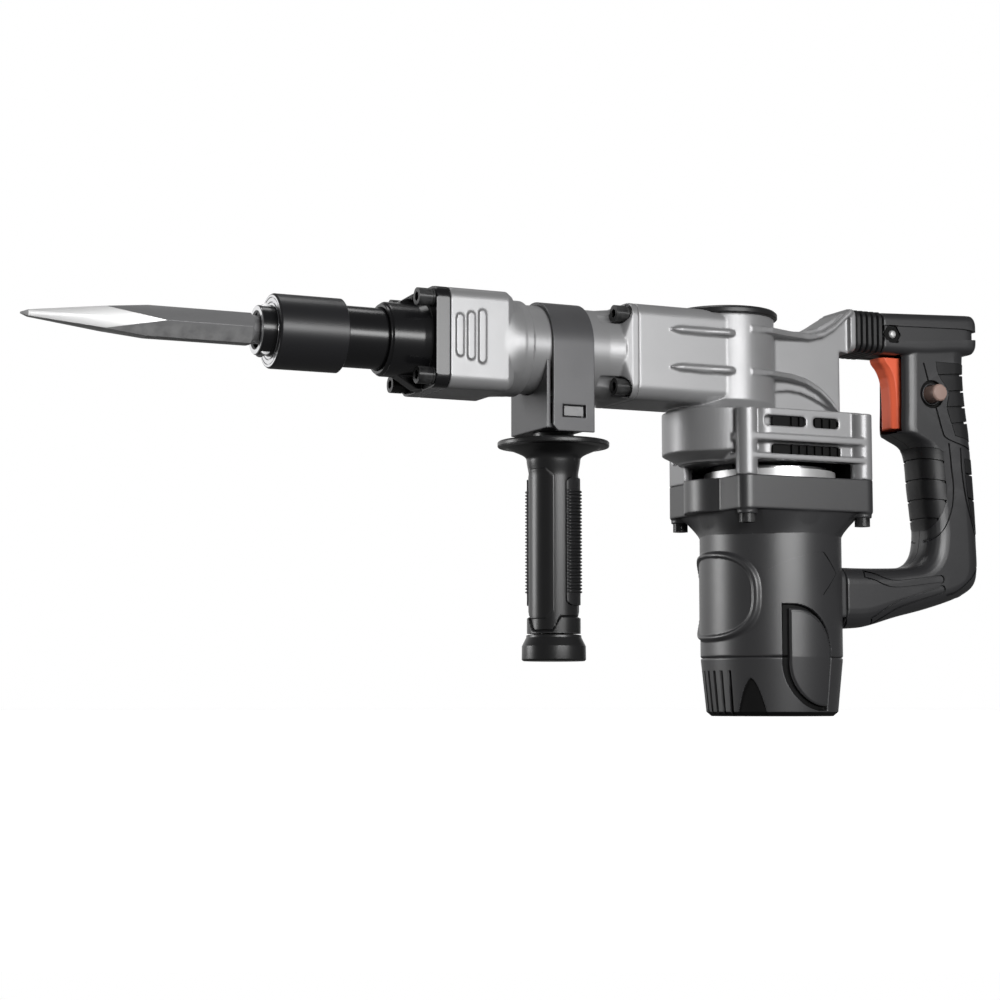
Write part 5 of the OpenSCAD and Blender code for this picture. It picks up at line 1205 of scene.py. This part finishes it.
def button():
    """The lock button in its grey collar."""
    place = BUTTON_X, AXIS + BUTTON_Z
    outline = rounded([(-12.4, 0.1, 0), (-12.4, 5.4, 0), (-24.9, 5.4, 0.9), (-25.9, 4.6, 0.8),
                       (-26, 0.1, 0)], 4)
    head = turned("lock_button_head", outline, 64, along="z")
    dress(moved(head, *place, -90), "lock_button", "button_plastic")
    ring = rounded([(14.3, 6.1, 0), (16.4, 6.1, 0.3), (16.4, 6.9, 0.5), (14.3, 7.1, 0)], 3)
    collar = turned("button_collar", ring, 64, along="z")
    dress(moved(collar, *place, 90), None, "handle_plastic")
    # Painted shade: a matt black well lines the recess round the button.
    ring = [(14.25, 6), (14.6, 6), (14.6, 8.6), (16.3, 8.75), (16.3, 8.97), (14.25, 8.97)]
    well = turned("button_shade_well", ring, 64, along="z")
    dress(moved(well, *place, 90), None, "fan_plastic", slot="handle_plastic")


def yoke_bolt():
    """The bolt that holds the handle's bar: a black nut in the hexagon recess and a bright end in it."""
    nut = across(5.7, BOLT_X, BOLT_Z, -15.6, -14.5, 6)
    cut(nut, across(2.6, BOLT_X, BOLT_Z, -18, -13))
    end = rounded([(-16, 0.1, 0), (-16, 2.5, 0), (16.6, 2.5, 0), (17.5, 1.7, 0.5), (17.6, 0.1, 0)], 4)
    bolt = turned("bolt", end, 48, along="z")
    moved(bolt, BOLT_X, AXIS + BOLT_Z, 90)
    for polygon in bolt.data.polygons:
        polygon.material_index = 1
    dress(joined("yoke_bolt", [nut, bolt]), "handle_bolt", "fan_plastic", "ground_steel")


def boot():
    """The ribbed rubber boot between the gearcase plate and the handle's bar."""
    start, end = BOOT[0].x, BOOT[1].x
    pitch = (end - start) / 5
    profile = []
    for k in range(5):
        at = start + k * pitch
        profile += [(at, -0.4), (at + 0.5, 0.3), (at + 0.62 * pitch, 0.4), (at + 0.74 * pitch, -0.2)]
        profile += [(at + 0.8 * pitch, -2.1), (at + 0.96 * pitch, -2.1)]
    profile.append((end, -0.6))
    rings = []
    for x, out in profile:
        ring = rounded_section((0, 12 - out), (0, 37.5 + out), 17.6 + out, 5 + out, 5 + out)
        rings.append([(x, y, z) for _, y, z in ring])
    rubber = loft(rings, "rubber_bellows")
    cut(rubber, pipe(9, start - 2, end + 2, 48, (0, AXIS + 24.75), "x"))
    dress(rubber, "rubber_boot", "grip_rubber")


# ---- CAD nodes that keep their shape


def sleeve_coil():
    """The sleeve's spring against the tube's shoulder, which on the tool shortens as the sleeve is pulled
    back. Here it keeps its shape and gets a mesh of its own.
    """
    coil = cad_copy("sleeve_coil", "sleeve_spring")
    dress(coil, "sleeve_spring", "spring_steel")
    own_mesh(coil)


def keep_the_rest():
    """The nodes whose shape is right take their finish from their slot."""
    other = {"locking_rollers": "chisel_steel", "bearing_plate": "ground_steel"}
    for node, shape in NODES.items():
        if not shape.hide_render:
            shape.data.materials.clear()
            shape.data.materials.append(FINISHES[other.get(node, SLOT_OF[node])])


# ---- stage


def studio():
    """White surroundings and a pale floor. The lamps light the tool, and these are mostly seen."""
    world = bpy.data.worlds.new("studio")
    bpy.context.scene.world = world
    world.use_nodes = True
    tree = world.node_tree
    rays = shader(tree, "LightPath").outputs
    white = arithmetic(tree, "MAXIMUM", rays["Is Camera Ray"], rays["Is Transmission Ray"])
    seen = arithmetic(tree, "MAXIMUM", white, rays["Is Glossy Ray"])
    # The camera sees white all round. Shiny faces see white behind the tool and a dim room in front of it.
    way = shader(tree, "SeparateXYZ", Vector=shader(tree, "TexCoord").outputs["Generated"]).outputs
    behind = stepped(tree, way["Y"], 0.35, 0.8)
    level = stepped(tree, way["Z"], 0.6, 0.3)
    room = arithmetic(tree, "ADD", arithmetic(tree, "MULTIPLY", behind, level, 0.85), 0.1)
    light = arithmetic(tree, "MAXIMUM", arithmetic(tree, "MULTIPLY", room, seen), white, 0.05)
    fed(tree, tree.nodes["Background"], {"Strength": light, "Color": (1, 1, 1, 1)})

    w = 4000
    square = [(x, y, -0.4) for x, y in ((-w, -w), (w, -w), (w, w), (-w, w))]
    floor = piece_from("floor", square, [(0, 1, 2, 3)])
    pale, tree = new_material("pale floor")
    rays = shader(tree, "LightPath").outputs
    # Seen straight on the floor is pale. It throws little light back up at the tool.
    tone = mixed(tree, rays["Is Camera Ray"], (0.04, 0.04, 0.04, 1), (0.5, 0.5, 0.5, 1))
    mirrored = arithmetic(tree, "MULTIPLY", rays["Is Glossy Ray"], 0.1)
    lit = arithmetic(tree, "MULTIPLY", arithmetic(tree, "MAXIMUM", rays["Is Camera Ray"], mirrored), 0.93)
    paint(tree, {"Base Color": tone, "Roughness": 0.9, "Emission Strength": lit,
                 "Emission Color": (1, 1, 1, 1)})
    floor.data.materials.append(pale)


def lamp(name, toward, distance, size, power, height=0.0):
    """A soft box at an angle round the tool, facing its middle."""
    middle = Vector((-0.1, 0, 0.15))
    a = radians(toward)
    data = bpy.data.lights.new(name, "AREA")
    data.shape = "RECTANGLE"
    data.size, data.size_y = size
    data.energy = power
    box = linked(name, data)
    box.location = middle + Vector((cos(a) * distance, sin(a) * distance, height))
    box.rotation_euler = (middle - box.location).to_track_quat("-Z", "Y").to_euler()


def camera():
    """The camera, low in front of the tool and on its left."""
    data = bpy.data.cameras.new("camera")
    data.lens, data.sensor_width = 77.84, 36
    data.clip_start, data.clip_end = 0.05, 50
    view = linked("camera", data)
    azimuth, pitch = 0.4214, 0.0953
    view.location = (-0.68987, -1.13530, 0.00569)
    view.rotation_euler = (pi / 2 + pitch, 0, -azimuth)
    bpy.context.scene.camera = view


chisel_bar()
holder_tube()
sleeve()
front_cover()
sleeve_coil()
hammer_case()
gearcase()
crank_cap()
cage_shade_insert()
motor_housing()
end_cap()
brush_cover_leaves()
clamp()
side_grip()
side_pads()
side_grip_end()
handle_shells()
grip_pads()
trigger()
button()
yoke_bolt()
boot()
keep_the_rest()
studio()
lamp("right soft box", -86, 1.6, (1.2, 0.42), 21, 0.3)
lamp("left soft box", -212, 1.8, (0.6, 0.6), 12, 0.2)
lamp("top soft box", 100, 0.4, (0.9, 0.4), 4, 1.5)
camera()
bpy.context.scene.view_settings.view_transform = "Standard"
